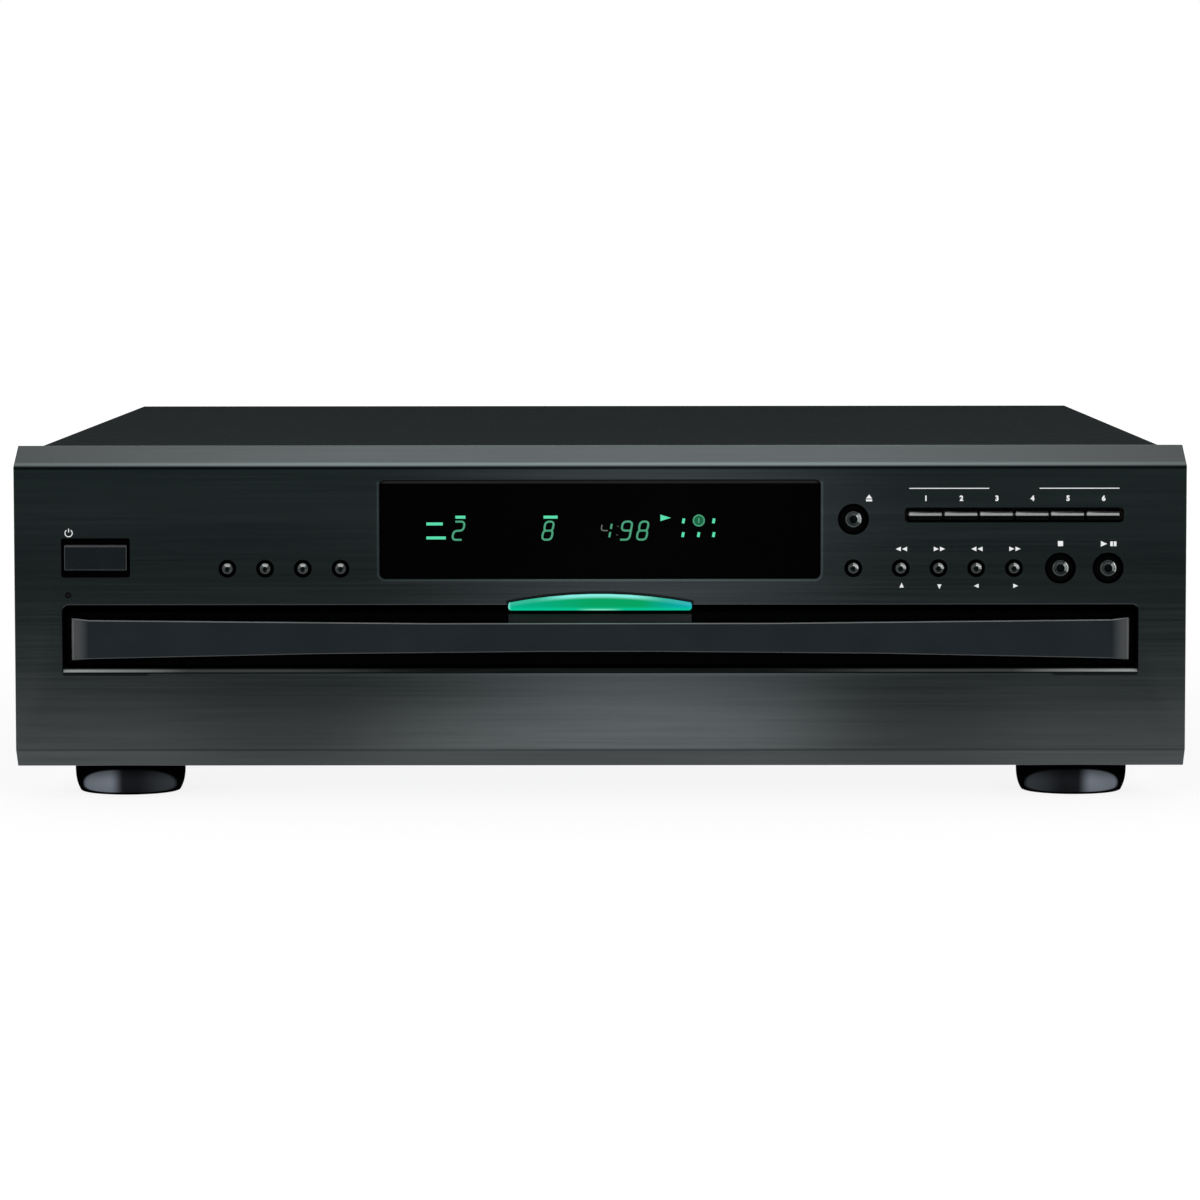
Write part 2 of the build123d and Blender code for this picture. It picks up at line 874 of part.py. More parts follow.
# Buttons
def round_button(place, ring, dome):
    """Cap with a hollow face and a raised rim, in a sunk ring, with a stem behind."""
    x, z = place
    cap = ring - button_gap
    edge_y = face_y + dome_edge
    rim = dome - cap_shoulder
    shoulder = (rim + cap_shoulder * sin(pi / 4), edge_y - (edge_y - front_y) * sin(pi / 4))
    dish_radius = (rim**2 + cap_dish**2) / (2 * cap_dish)
    half_sweep = asin(rim / dish_radius) / 2
    dish_centre = front_y + cap_dish - dish_radius
    hollow = (dish_radius * sin(half_sweep), dish_centre + dish_radius * cos(half_sweep))
    ring_y = face_y + ring_sink
    flange_front = wall_y + seat_gap
    flange_back = flange_front + flange_sheet
    stem_end = board_y - switch_height - plunger_height - button_travel - seat_gap
    flange = ring + flange_reach
    profile = make_face([
        Line((0, stem_end), (stem_radius, stem_end)),
        Line((stem_radius, stem_end), (stem_radius, flange_back)),
        Line((stem_radius, flange_back), (flange, flange_back)),
        Line((flange, flange_back), (flange, flange_front)),
        Line((flange, flange_front), (cap, flange_front)),
        Line((cap, flange_front), (cap, ring_y)),
        Line((cap, ring_y), (dome, ring_y - cap_undercut)),
        Line((dome, ring_y - cap_undercut), (dome, edge_y)),
        ThreePointArc((dome, edge_y), shoulder, (rim, front_y)),
        ThreePointArc((rim, front_y), hollow, (0, front_y + cap_dish)),
        Line((0, front_y + cap_dish), (0, stem_end)),
    ])
    return Pos(x, 0, z) * revolve(profile, Axis.Y)


def bar_button(place, size, flange, travel, bevel):
    x, z = place
    width, height = size
    top = z + height / 2
    low = z - height / 2
    nose = face_y - bar_proud
    flange_front = wall_y + seat_gap
    flange_back = flange_front + flange_sheet
    stem_end = board_y - switch_height - plunger_height - travel - seat_gap
    profile = outline(
        (nose, low + bar_foot),
        (nose + bar_foot, low),
        (flange_front, low),
        (flange_front, top),
        (nose + bevel, top),
        (nose, top - bevel),
    )
    cap = side_cut(profile, (x - width / 2, x + width / 2))
    cap += block(
        (x - flange[0] / 2, x + flange[0] / 2),
        (flange_front, flange_back),
        (z - flange[1] / 2, z + flange[1] / 2),
    )
    return cap + lengthwise(x, z, (flange_back, stem_end), stem_radius)


def power_button():
    flange = [size + 2 * flange_reach for size in power_hole]
    return bar_button((power_x, power_z), power_size, flange, power_travel, power_bevel)


def disc_key(index):
    flange = (key_pitch - key_flange_gap, key_size[1] + key_flange_rise)
    return bar_button(key_places()[index], key_size, flange, button_travel, key_bevel)


def front_board():
    board = block(
        (-board_half, board_half), (board_y, board_y + board_sheet), (board_bottom, board_top)
    )
    through = (board_y - past, board_y + board_sheet + past)
    for x, z in boss_places():
        board -= lengthwise(x, z, through, stake_radius + hole_fit)
    pieces = [board]
    switches = list(small_buttons.values()) + list(large_buttons.values()) + key_places()
    half = switch_size / 2
    for x, z in switches + [(power_x, power_z)]:
        body = block(
            (x - half, x + half), (board_y - switch_height, board_y), (z - half, z + half)
        )
        tip = board_y - switch_height - plunger_height
        pieces.append(body + lengthwise(x, z, (tip, board_y - switch_height), plunger_radius))
    tube = block(
        (-tube_half, tube_half),
        (board_y - tube_thickness, board_y),
        (window_middle - tube_height / 2, window_middle + tube_height / 2),
    )
    pieces.append(tube)
    lamp_z = slot_top + lamp_rise
    lamp_x = -panel_half + lamp_inset
    pieces.append(lengthwise(lamp_x, lamp_z, (face_y + lamp_sink, board_y), lamp_radius))
    lamp_y = face_y + light_depth
    lamp_low = board_bottom + bar_lamp_rise
    pieces.append(block(
        (-bar_lamp[0] / 2, bar_lamp[0] / 2),
        (lamp_y + seat_gap, board_y),
        (lamp_low, lamp_low + bar_lamp[1]),
    ))
    return Compound(pieces)


# Case
def foot_places():
    x = panel_half - foot_inset_x
    front = face_y + foot_inset_y
    back = rear_y - foot_inset_y
    return [(-x, front), (x, front), (-x, back), (x, back)]


def feet():
    middle_radius = foot_bottom_radius + foot_bulge[0] * (foot_top_radius - foot_bottom_radius)
    rim_z = foot_height - foot_step
    profile = make_face([
        Line((screw_radius + hole_fit, foot_height), (foot_boss_radius, foot_height)),
        Line((foot_boss_radius, foot_height), (foot_boss_radius, rim_z)),
        Line((foot_boss_radius, rim_z), (foot_top_radius, rim_z)),
        ThreePointArc(
            (foot_top_radius, rim_z), (middle_radius, rim_z * foot_bulge[1]),
            (foot_bottom_radius, 0)
        ),
        Line((foot_bottom_radius, 0), (foot_sink_radius, 0)),
        Line((foot_sink_radius, 0), (foot_sink_radius, foot_sink)),
        Line((foot_sink_radius, foot_sink), (screw_radius + hole_fit, foot_sink)),
        Line((screw_radius + hole_fit, foot_sink), (screw_radius + hole_fit, foot_height)),
    ])
    foot = revolve(Plane.XZ * profile, Axis.Z)
    return Compound([Pos(x, y) * foot for x, y in foot_places()])


def side_screw_places():
    reach = carousel_radius - side_screw_inset
    z = pan_top + lower_bay / 2
    return [(side, y, z) for side in (-1, 1) for y in (-reach, reach)]


def lip_screw_places():
    reach = chassis_half - lip_screw_inset
    return [(x, cover_top - lip_screw_drop) for x in (-reach, 0, reach)]


def low_screw_places():
    reach = chassis_half - low_screw_inset
    z = pan_top + low_screw_rise
    return [(-reach, z), (reach, z)]


def screw():
    """A screw along Z, its head standing on Z = 0 and its shank below."""
    shank = upright(0, 0, (-screw_length, 0), screw_radius)
    head = upright(0, 0, (0, screw_head), screw_head_radius)
    head = chamfer(head.edges().group_by(Axis.Z)[-1], screw_edge)
    depth = (screw_head - cross_depth, screw_head + past)
    arm = (-cross_arm, cross_arm)
    width = (-cross_width / 2, cross_width / 2)
    return shank + head - block(arm, width, depth) - block(width, arm, depth)


def case_screws():
    one = screw()
    placed = []
    for side, y, z in side_screw_places():
        placed.append(Pos(side * cover_half, y, z) * Rot(0, 90 * side, 0) * one)
    for x, z in lip_screw_places():
        placed.append(Pos(x, rear_y + cover_sheet, z) * Rot(-90, 0, 0) * one)
    for x, z in low_screw_places():
        placed.append(Pos(x, rear_y, z) * Rot(-90, 0, 0) * one)
    for x, y in foot_places():
        placed.append(Pos(x, y, foot_sink) * Rot(180, 0, 0) * one)
    for x, z in panel_screw_places():
        placed.append(Pos(x, panel_back_y + chassis_sheet, z) * Rot(-90, 0, 0) * one)
    return Compound(placed)


def bottom_chassis():
    inner_back = rear_y - chassis_sheet
    pan = block(
        (-chassis_half, chassis_half), (panel_back_y, inner_back), (foot_height, pan_top)
    )
    side = block(
        (chassis_inner, chassis_half), (panel_back_y, inner_back), (foot_height, side_wall_top)
    )
    front = block(
        (-chassis_half, chassis_half),
        (panel_back_y, panel_back_y + chassis_sheet),
        (foot_height, chamfer_z - front_wall_drop),
    )
    opening = slot_half + front_opening[0]
    through = (panel_back_y - past, panel_back_y + chassis_sheet + past)
    front -= block(
        (-opening, opening), through,
        (slot_bottom - front_opening[1], slot_top + front_opening[1])
    )
    lip = block(
        (-chassis_inner, chassis_inner),
        (inner_back - chassis_sheet, inner_back),
        (foot_height, pan_top + rear_lip),
    )
    shell = pan + both_sides(side) + front + lip
    for x, inward_x in zip(main_board_x, (board_post_inset, -board_post_inset)):
        for y, inward_y in zip(main_board_y, (board_post_inset, -board_post_inset)):
            spot = (x + inward_x, y + inward_y)
            shell += upright(*spot, (pan_top, main_board_z), board_post_radius)
    hole = screw_radius + hole_fit
    for x, y in foot_places():
        shell -= upright(x, y, (foot_height - past, pan_top + past), hole)
    for side_sign, y, z in side_screw_places():
        wall = sorted((side_sign * (chassis_inner - past), side_sign * (chassis_half + past)))
        middle = sum(wall) / 2
        shell -= Pos(middle, y, z) * Rot(0, 90, 0) * Cylinder(hole, wall[1] - wall[0])
    for x, z in low_screw_places():
        shell -= lengthwise(x, z, (inner_back - chassis_sheet - past, inner_back + past), hole)
    for x, z in panel_screw_places():
        shell -= lengthwise(x, z, through, hole)
    return shell


def top_cover():
    start = panel_back_y + cover_start
    end = rear_y + cover_sheet
    low = pan_top + cover_hem
    top = block((-cover_half, cover_half), (start, end), (cover_top - cover_sheet, cover_top))
    side = block((chassis_half, cover_half), (start, end), (low, cover_top))
    lip = block((-cover_half, cover_half), (rear_y, end), (cover_top - cover_lip, cover_top))
    shell = top + both_sides(side) + lip
    hole = screw_radius + hole_fit
    for side_sign, y, z in side_screw_places():
        middle = side_sign * (chassis_half + cover_half) / 2
        shell -= Pos(middle, y, z) * Rot(0, 90, 0) * Cylinder(hole, cover_sheet + 2 * past)
    for x, z in lip_screw_places():
        shell -= lengthwise(x, z, (rear_y - past, end + past), hole)
    return shell


def rear_panel():
    inner = rear_y - chassis_sheet
    plate = block(
        (-chassis_half, chassis_half), (inner, rear_y), (foot_height, cover_top - cover_sheet)
    )
    through = (inner - past, rear_y + past)
    for x, z in low_screw_places() + lip_screw_places():
        plate -= lengthwise(x, z, through, screw_radius + hole_fit)
    for z in audio_z:
        plate -= lengthwise(audio_x, z, through, collar_radius + hole_fit)
    plate -= lengthwise(coaxial_x, socket_z, through, collar_radius + hole_fit)
    snout = [size + 2 * hole_fit for size in optical_snout]
    optical = rounded(optical_x, socket_z, *snout, optical_corner + hole_fit)
    plate -= front_cut(optical, through)
    plate -= lengthwise(gland_x, gland_z, through, gland_radius + hole_fit)
    return plate


# Sockets at the back
def phono_socket(x, z):
    inner = rear_y - chassis_sheet
    collar = lengthwise(x, z, (inner - past, rear_y + collar_proud), collar_radius)
    shell = lengthwise(x, z, (rear_y, jack_y), shell_radius)
    bore = lengthwise(x, z, (rear_y - past, jack_y + past), pin_hole)
    return collar + shell - bore


def audio_jacks():
    inner = rear_y - chassis_sheet
    body = block(
        (audio_x - jack_half, audio_x + jack_half), (inner - audio_depth, inner),
        (main_board_z + board_sheet, audio_z[1] + jack_cap)
    )
    for z in audio_z:
        body += phono_socket(audio_x, z)
    return body


def digital_jacks():
    inner = rear_y - chassis_sheet
    floor = main_board_z + board_sheet
    coaxial = block(
        (coaxial_x - jack_half, coaxial_x + jack_half), (inner - coaxial_depth, inner),
        (floor, socket_z + jack_cap)
    )
    coaxial += phono_socket(coaxial_x, socket_z)
    optical = block(
        (optical_x - jack_half, optical_x + jack_half), (inner - optical_depth, inner),
        (floor, socket_z + optical_cap)
    )
    snout = rounded(optical_x, socket_z, *optical_snout, optical_corner)
    optical += front_cut(snout, (inner - past, rear_y + optical_proud))
    mouth = rounded(optical_x, socket_z, *optical_mouth, optical_mouth_corner)
    optical -= front_cut(mouth, (rear_y - optical_pit, rear_y + optical_proud + past))
    return Compound([coaxial, optical])


def cord_gland():
    inner = rear_y - chassis_sheet
    low = inner - gland_inside
    high = rear_y + gland_proud
    body = lengthwise(gland_x, gland_z, (low, high), gland_radius)
    body += lengthwise(gland_x, gland_z, (rear_y, rear_y + gland_flange_sheet), gland_flange)
    body += lengthwise(gland_x, gland_z, (low, inner), gland_radius + gland_lip)
    return body - lengthwise(gland_x, gland_z, (low - past, high + past), gland_bore)


# Boards and transformer
def main_board():
    top = main_board_z + board_sheet
    pieces = [block(main_board_x, main_board_y, (main_board_z, top))]
    left, right = main_board_x
    front, back = main_board_y
    for index in range(capacitor_count):
        x = right - capacitor_inset[0] - capacitor_pitch * index
        y = front + capacitor_inset[1]
        pieces.append(upright(x, y, (top, top + capacitor_height), capacitor_radius))
    width, thick, height = sink_size
    sink_x = left + sink_inset[0]
    sink_y = front + sink_inset[1]
    sink = block((sink_x, sink_x + width), (sink_y, sink_y + thick), (top, top + height))
    fin_y = (sink_y + thick, sink_y + thick + fin_size[1])
    for index in range(fin_count):
        x = sink_x + fin_inset + fin_pitch * index
        sink += block((x, x + fin_size[0]), fin_y, (top, top + height))
    pieces.append(sink)
    for inset_x, inset_y, width, depth in chips:
        x = left + inset_x
        y = front + inset_y
        pieces.append(block((x, x + width), (y, y + depth), (top, top + chip_height)))
    plug_x = right - plug_inset[0]
    plug_y = front + plug_inset[1]
    width, depth, height = plug_size
    pieces.append(block((plug_x, plug_x + width), (plug_y, plug_y + depth), (top, top + height)))
    return Compound(pieces)


def power_transformer():
    x, y = transformer_x, transformer_y
    low = pan_top + core_bracket_sheet
    high = low + core_height
    middle = (low + high) / 2
    half, half_depth = core_half
    depth = (y - half_depth, y + half_depth)
    core = block((x - half, x + half), depth, (low, high))
    window = block(
        core_window, (depth[0] - past, depth[1] + past),
        (middle - core_window_half, middle + core_window_half)
    )
    core -= Pos(x) * both_sides(window)
    outer = core_window[1] - coil_gap
    inner = core_window[0] + coil_gap
    coil_height = core_window_half - coil_gap
    coil = block(
        (x - outer, x + outer), (y - coil_half, y + coil_half),
        (middle - coil_height, middle + coil_height)
    )
    coil -= block(
        (x - inner, x + inner), (depth[0] - coil_gap, depth[1] + coil_gap),
        (middle - coil_height - past, middle + coil_height + past)
    )
    bracket = block((x - core_bracket_half, x + core_bracket_half), depth, (pan_top, low))
    return Compound([core, coil, bracket])


# Tray and carousel
def pickup_slot(centre_y, angle, z):
    """Slot that starts round the play position and runs out past the rim."""
    reach = carousel_radius + tray_tail + past
    start = upright(0, well_ring, z, pickup_slot_half)
    run = block((-pickup_slot_half, pickup_slot_half), (well_ring, reach), z)
    return Pos(0, centre_y) * Rot(0, 0, degrees(angle)) * (start + run)


def tray():
    length = (tray_y, tray_end_y)
    height = (floor_z, deck_top)
    floor = block((-flange_half, flange_half), length, (floor_z, floor_top))
    deck = block((-tray_half, tray_half), length, (deck_top - tray_wall, deck_top))
    side = block((tray_half - tray_wall, tray_half), length, height)
    front = block((-tray_half, tray_half), (tray_y, tray_y + tray_wall), height)
    back = block((-tray_half, tray_half), (tray_end_y - tray_wall, tray_end_y), height)
    bowl = upright(0, carousel_y, height, bowl_radius + tray_wall)
    bowl &= block((-tray_half, tray_half), length, height)
    body = floor + deck + both_sides(side) + front + back + bowl
    body -= upright(0, carousel_y, (floor_top, deck_top + past), bowl_radius)
    support_height = (floor_top, carousel_z - slide_gap)
    support = upright(0, carousel_y, support_height, support_radius + support_width / 2)
    support -= upright(
        0, carousel_y, (floor_top - past, carousel_z), support_radius - support_width / 2
    )
    body += support
    rib_ends = (play_y - short_rib_gap, tray_end_y - rib_inset)
    for x, end in zip(rib_places, rib_ends):
        rib = block((x - rib_width / 2, x + rib_width / 2), (tray_y + rib_inset, end), (rib_z, floor_z))
        body += both_sides(rib)
    rack = rack_outline(
        -(loading_y + tray_travel + rack_margin), -(loading_y - rack_margin),
        -loading_y, drive_module, rack_spine
    )
    body += Pos(rack_pitch_x, 0, 0) * raised(Rot(0, 0, -90) * rack, (rib_z, floor_z))
    body += upright(idler_x, idler_y, (floor_top, ring_z - slide_gap), idler_seat)
    body += upright(idler_x, idler_y, (floor_top, large_gear_z + gear_height), idler_post)
    through = (rib_z - past, floor_top + past)
    body -= upright(motor_x, motor_y, through, motor_radius + hole_fit)
    body -= upright(0, carousel_y, through, axle_radius - axle_step + hole_fit)
    return body - pickup_slot(carousel_y, 0, (rib_z - past, deck_top + past))


def tray_door():
    middle = (door_bottom + door_top) / 2
    plate = rounded(0, middle, 2 * door_half, door_top - door_bottom, 1.8)
    return front_cut(plate, (door_y, tray_y))


def door_trim():
    inner = trim_half - trim_end
    top = trim_top - trim_flare
    low = trim_bottom + trim_flare
    shape = make_face([
        Line((-trim_half, trim_bottom), (-inner, low)),
        ThreePointArc((-inner, low), (0, low + trim_bottom_sag), (inner, low)),
        Line((inner, low), (trim_half, trim_bottom)),
        Line((trim_half, trim_bottom), (trim_half, trim_top)),
        Line((trim_half, trim_top), (inner, top)),
        ThreePointArc((inner, top), (0, top - trim_top_sag), (-inner, top)),
        Line((-inner, top), (-trim_half, trim_top)),
        Line((-trim_half, trim_top), (-trim_half, trim_bottom)),
    ])
    plan = outline(
        (-trim_half, door_y),
        (-trim_half, trim_y + trim_end_back),
        (-inner, trim_y),
        (inner, trim_y),
        (trim_half, trim_y + trim_end_back),
        (trim_half, door_y),
    )
    return front_cut(shape, (trim_y, door_y)) & raised(plan, (door_bottom, door_top))


def carousel_axle():
    top = dome_ceiling - axle_air
    shaft = upright(0, carousel_y, (floor_z, top), axle_radius - axle_step)
    shaft += upright(0, carousel_y, (floor_top, top), axle_radius)
    seat = (floor_top, carousel_z + hub_rise - slide_gap)
    shaft += upright(0, carousel_y, seat, hub_radius - axle_step)
    shaft += upright(0, carousel_y, (floor_z - axle_step, floor_z), axle_radius + axle_clip)
    return shaft


def carousel_motor():
    can = upright(motor_x, motor_y, (motor_bottom, motor_top), motor_radius)
    can += upright(motor_x, motor_y, (floor_top, floor_top + axle_step), motor_radius + motor_flange)
    bore = (motor_top - shaft_sink - motor_air, motor_top + past)
    return can - upright(motor_x, motor_y, bore, motor_shaft + shaft_fit)


def carousel():
    centre = (0, carousel_y)
    full = (carousel_z, deck_top)
    body = upright(*centre, (deck_top - carousel_deck, deck_top), carousel_radius)
    rim = upright(*centre, full, carousel_radius)
    rim -= upright(*centre, (carousel_z - past, deck_top + past), carousel_radius - carousel_wall)
    body += rim
    dome = make_face([
        Line((0, carousel_z), (dome_radius, carousel_z)),
        Line((dome_radius, carousel_z), (dome_radius, dome_top - dome_round)),
        ThreePointArc(
            (dome_radius, dome_top - dome_round),
            (dome_radius - dome_round * (1 - sin(pi / 4)), dome_top - dome_round * (1 - sin(pi / 4))),
            (dome_radius - dome_round, dome_top),
        ),
        Line((dome_radius - dome_round, dome_top), (0, dome_top)),
        Line((0, dome_top), (0, carousel_z)),
    ])
    spots = [
        Pos(0, carousel_y) * Rot(0, 0, 360 * index / well_count) * Pos(0, well_ring)
        for index in range(well_count)
    ]
    for spot in spots:
        body += spot * upright(0, 0, full, well_radius + well_web)
    body += Pos(*centre) * revolve(Plane.XZ * dome, Axis.Z)
    for spot in spots:
        body -= spot * upright(0, 0, (well_z, deck_top + past), well_radius)
        body -= spot * upright(0, 0, (well_z - single_step, well_z + past), single_radius)
    body -= upright(*centre, (carousel_z - past, dome_ceiling), dome_radius - dome_wall)
    ring = upright(*centre, (ring_z, ring_z + ring_height), dome_radius - dome_wall / 2)
    gap = gear_outline(
        ring_teeth, drive_module, idler_angle, tooth_root, tooth_tip, -tooth_play
    )
    ring -= Pos(*centre) * raised(gap, (ring_z - past, ring_z + ring_height + past))
    body += ring
    body += upright(*centre, (carousel_z + hub_rise, dome_ceiling + dome_wall / 2), hub_radius)
    bore = (carousel_z - past, dome_ceiling - axle_air / 2)
    body -= upright(*centre, bore, axle_radius + shaft_fit)
    for index in range(well_count):
        angle = 2 * pi * index / well_count
        body -= pickup_slot(carousel_y, angle, (carousel_z - past, deck_top + past))
    return body


def carousel_idler_gear():
    toward_motor = motor_direction()
    ring_top = ring_z + ring_height
    body = spur_gear(
        idler_small_teeth, drive_module, idler_angle, idler_x, idler_y, (ring_z, ring_top)
    )
    body += upright(idler_x, idler_y, (ring_top, large_gear_z), idler_neck)
    body += spur_gear(
        idler_large_teeth, drive_module, toward_motor, idler_x, idler_y,
        (large_gear_z, large_gear_z + gear_height)
    )
    return body - upright(idler_x, idler_y, (ring_z - past, dome_top), idler_post + shaft_fit)


def motor_direction():
    dx = motor_x - idler_x
    dy = motor_y - idler_y
    turn = acos(dx / hypot(dx, dy))
    return turn if dy > 0 else -turn


def carousel_pinion():
    phase = motor_direction() + pi + pi / pinion_teeth
    body = spur_gear(
        pinion_teeth, drive_module, phase, motor_x, motor_y,
        (large_gear_z - gear_over, large_gear_z + gear_height + gear_over)
    )
    return body + upright(motor_x, motor_y, (motor_top - shaft_sink, large_gear_z), motor_shaft)


# Rails and loading drive
def rail_section():
    """Section of the right rail, in X and Z."""
    shelf_top = floor_z - slide_gap
    shelf_low = shelf_top - shelf_sheet
    web = rail_half + rail_web
    return outline(
        (shelf_inner, shelf_low),
        (rail_half, shelf_low),
        (rail_half, rail_foot_z),
        (chassis_inner, rail_foot_z),
        (chassis_inner, rail_lip_z),
        (chassis_inner - rail_wall, rail_lip_z),
        (chassis_inner - rail_wall, rail_foot_z + rail_foot),
        (web, rail_foot_z + rail_foot),
        (web, rail_lip_z),
        (lip_inner, rail_lip_z),
        (lip_inner, floor_top + slide_gap),
        (rail_half, floor_top + slide_gap),
        (rail_half, shelf_top),
        (shelf_inner, shelf_top),
    )


def tray_rails():
    right = front_cut(rail_section(), (rail_start_y, rail_end_y))
    left = mirror(right, about=Plane.YZ)
    depth = (rail_start_y, rail_start_y + bracket_depth)
    reach = -chassis_inner + bracket_reach
    left += block((-chassis_inner, reach), depth, (bracket_z, bracket_top))
    wall = (-chassis_inner, -chassis_inner + bracket_sheet)
    left += block(wall, depth, (bracket_z, rail_foot_z + rail_foot / 2))
    left += block((reach - bracket_sheet, reach), depth, (pan_top, bracket_top))
    left += upright(loading_x, loading_y, (bracket_top, floor_z - post_gap), loading_post)
    neck = (bracket_z - past, bracket_top + past)
    left -= upright(loading_motor_x, loading_motor_y, neck, motor_neck + hole_fit)
    return Compound([left, right])


def pulley(x, y, z, groove, rim):
    """Two rims with a groove for the belt in the middle."""
    middle = (z[0] + z[1]) / 2
    half = belt_size / 2 + groove_play
    body = upright(x, y, z, groove)
    body += upright(x, y, (z[0], middle - half), rim)
    body += upright(x, y, (middle + half, z[1]), rim)
    return body


def loading_gear():
    z = (pulley_z, pulley_z + pulley_height)
    body = pulley(loading_x, loading_y, z, loading_pulley_groove, loading_pulley_rim)
    body += upright(loading_x, loading_y, (z[1], rib_z), loading_neck)
    phase = pi + pi / loading_teeth
    body += spur_gear(
        loading_teeth, drive_module, phase, loading_x, loading_y, (rib_z, floor_z - slide_gap)
    )
    bore = (bracket_top, floor_z + past)
    return body - upright(loading_x, loading_y, bore, loading_post + shaft_fit)


def motor_pulley():
    z = (pulley_z, pulley_z + pulley_height)
    place = (loading_motor_x, loading_motor_y)
    body = pulley(*place, z, motor_pulley_groove, motor_pulley_rim)
    return body + upright(*place, (bracket_z - loading_shaft_sink, z[0]), motor_shaft)


def loading_motor():
    place = (loading_motor_x, loading_motor_y)
    can = upright(*place, (bracket_z - loading_motor_height, bracket_z), motor_radius)
    can += upright(*place, (bracket_z, bracket_top - neck_gap), motor_neck)
    bore = (bracket_z - loading_shaft_sink - motor_air, bracket_top + past)
    return can - upright(*place, bore, motor_shaft + shaft_fit)


def loading_belt():
    middle = pulley_z + pulley_height / 2
    z = (middle - belt_size / 2, middle + belt_size / 2)

    def loop(grow):
        circles = [
            Pos(loading_x, loading_y) * Circle(loading_pulley_groove + grow),
            Pos(loading_motor_x, loading_motor_y) * Circle(motor_pulley_groove + grow),
        ]
        return make_hull([edge for circle in circles for edge in circle.edges()])

    return raised(loop(belt_gap + belt_size), z) - raised(loop(belt_gap), z)


# Pickup mechanism
def guide_places():
    return [(x, y) for x in (-guide_x, guide_x) for y in (guide_front_y, guide_back_y)]


def mechanism_frame():
    body = block(
        (-frame_half, frame_half), (frame_front_y, frame_back_y), (frame_z, frame_top)
    )
    inset = frame_foot_inset
    for x in (-frame_half + inset, frame_half - inset):
        for y in (frame_front_y + inset, frame_back_y - inset):
            body += upright(x, y, (pan_top, frame_z), frame_foot_radius)
    shoulder_top = base_top - guide_boss_height - slide_gap
    post_top = base_top + lift_travel + guide_over
    for x, y in guide_places():
        body += upright(x, y, (frame_top, shoulder_top), guide_shoulder)
        body += upright(x, y, (frame_top, post_top), guide_radius)
    rib_top = frame_top + cam_rib
    rib_y = (cam_y - slide_gap, cam_y + cam_sheet + slide_gap)
    front_rib = (rib_y[0] - cam_rib_sheets[0], rib_y[0])
    back_rib = (rib_y[1], rib_y[1] + cam_rib_sheets[1])
    for rib in (front_rib, back_rib):
        body += block((-frame_half, frame_half), rib, (frame_top, rib_top))
    return body


def pickup_base():
    body = block((-base_half, base_half), (base_front_y, base_back_y), (base_z, base_top))
    boss_z = (base_top - guide_boss_height, base_top)
    for x, y in guide_places():
        body += upright(x, y, boss_z, guide_boss)
        body -= upright(x, y, (boss_z[0] - past, base_top + past), guide_radius + shaft_fit)
    apron = (base_front_y, base_front_y + apron_sheet)
    apron_half = cam_pin_x + cam_end
    body += block((-apron_half, apron_half), apron, (pin_z - cam_end, base_z))
    for x in (-cam_pin_x, cam_pin_x):
        body += lengthwise(x, pin_z, (cam_y - pin_over, base_front_y), cam_pin_radius)
    for y in (rod_front_y, rod_back_y):
        holder = block(
            (-rod_block_left, rod_block_right), (y, y + rod_block), (base_top, rod_z + rod_cap)
        )
        through = (y - past, y + rod_block + past)
        for x in (-rod_x, rod_x):
            holder -= lengthwise(x, rod_z, through, rod_radius + shaft_fit)
        body += holder
    return body


def guide_rods():
    ends = (rod_front_y, rod_back_y + rod_block)
    return Compound([lengthwise(x, rod_z, ends, rod_radius) for x in (-rod_x, rod_x)])


def spindle_motor():
    can = upright(0, play_y, (base_top, spindle_top), motor_radius)
    can += upright(0, play_y, (spindle_top, spindle_top + spindle_step), spindle_neck)
    bore = (base_top + spindle_shaft_rise - motor_air, spindle_top + spindle_step + past)
    return can - upright(0, play_y, bore, motor_shaft + shaft_fit)


def disc_turntable():
    platter = upright(0, play_y, (seat_z - turntable_sheet, seat_z), turntable_radius)
    hub = upright(0, play_y, (spindle_top + spindle_step + slide_gap, seat_z), turntable_hub)
    shaft = upright(0, play_y, (base_top + spindle_shaft_rise, seat_z), motor_shaft)
    cone = Pos(0, play_y, seat_z + cone_height / 2) * Cone(cone_radius, cone_tip, cone_height)
    return platter + hub + shaft + cone


def laser_sled():
    y = (lens_y - sled_front, lens_y + sled_back)
    body = block((-sled_half, sled_half), y, (sled_z, sled_z + sled_height))
    for x in (-rod_x, rod_x):
        body -= lengthwise(x, rod_z, (y[0] - past, y[1] + past), rod_radius + shaft_fit)
    body -= upright(0, lens_y, (rod_z + lens_floor, sled_z + sled_height + past), lens_pit)
    rack = rack_outline(
        -(sled_gear_y + sled_over), -(sled_gear_y - sled_travel - sled_over),
        -sled_gear_y, sled_module, sled_spine
    )
    rack_z = (sled_z, sled_z + sled_rack_height)
    body += Pos(sled_rack_pitch, 0, 0) * raised(Rot(0, 0, -90) * rack, rack_z)
    side = (sled_half - sled_spine, sled_rack_root)
    return body + block(side, (y[0] + rod_gap, y[1]), rack_z)


def pickup_lens():
    top = sled_z + sled_height + lens_proud
    holder = upright(0, lens_y, (rod_z + lens_floor, top - lens_dome), lens_holder)
    glass = Cone(lens_radius + lens_slope, lens_radius - lens_slope, lens_dome)
    return holder + Pos(0, lens_y, top - lens_dome / 2) * glass


def sled_motor():
    can_top = sled_z - gear_over - motor_air
    can = upright(sled_gear_x, sled_gear_y, (base_top, can_top), sled_motor_radius)
    bore = (base_top + sled_shaft_rise - motor_air, can_top + past)
    return can - upright(sled_gear_x, sled_gear_y, bore, sled_motor_shaft + shaft_fit)


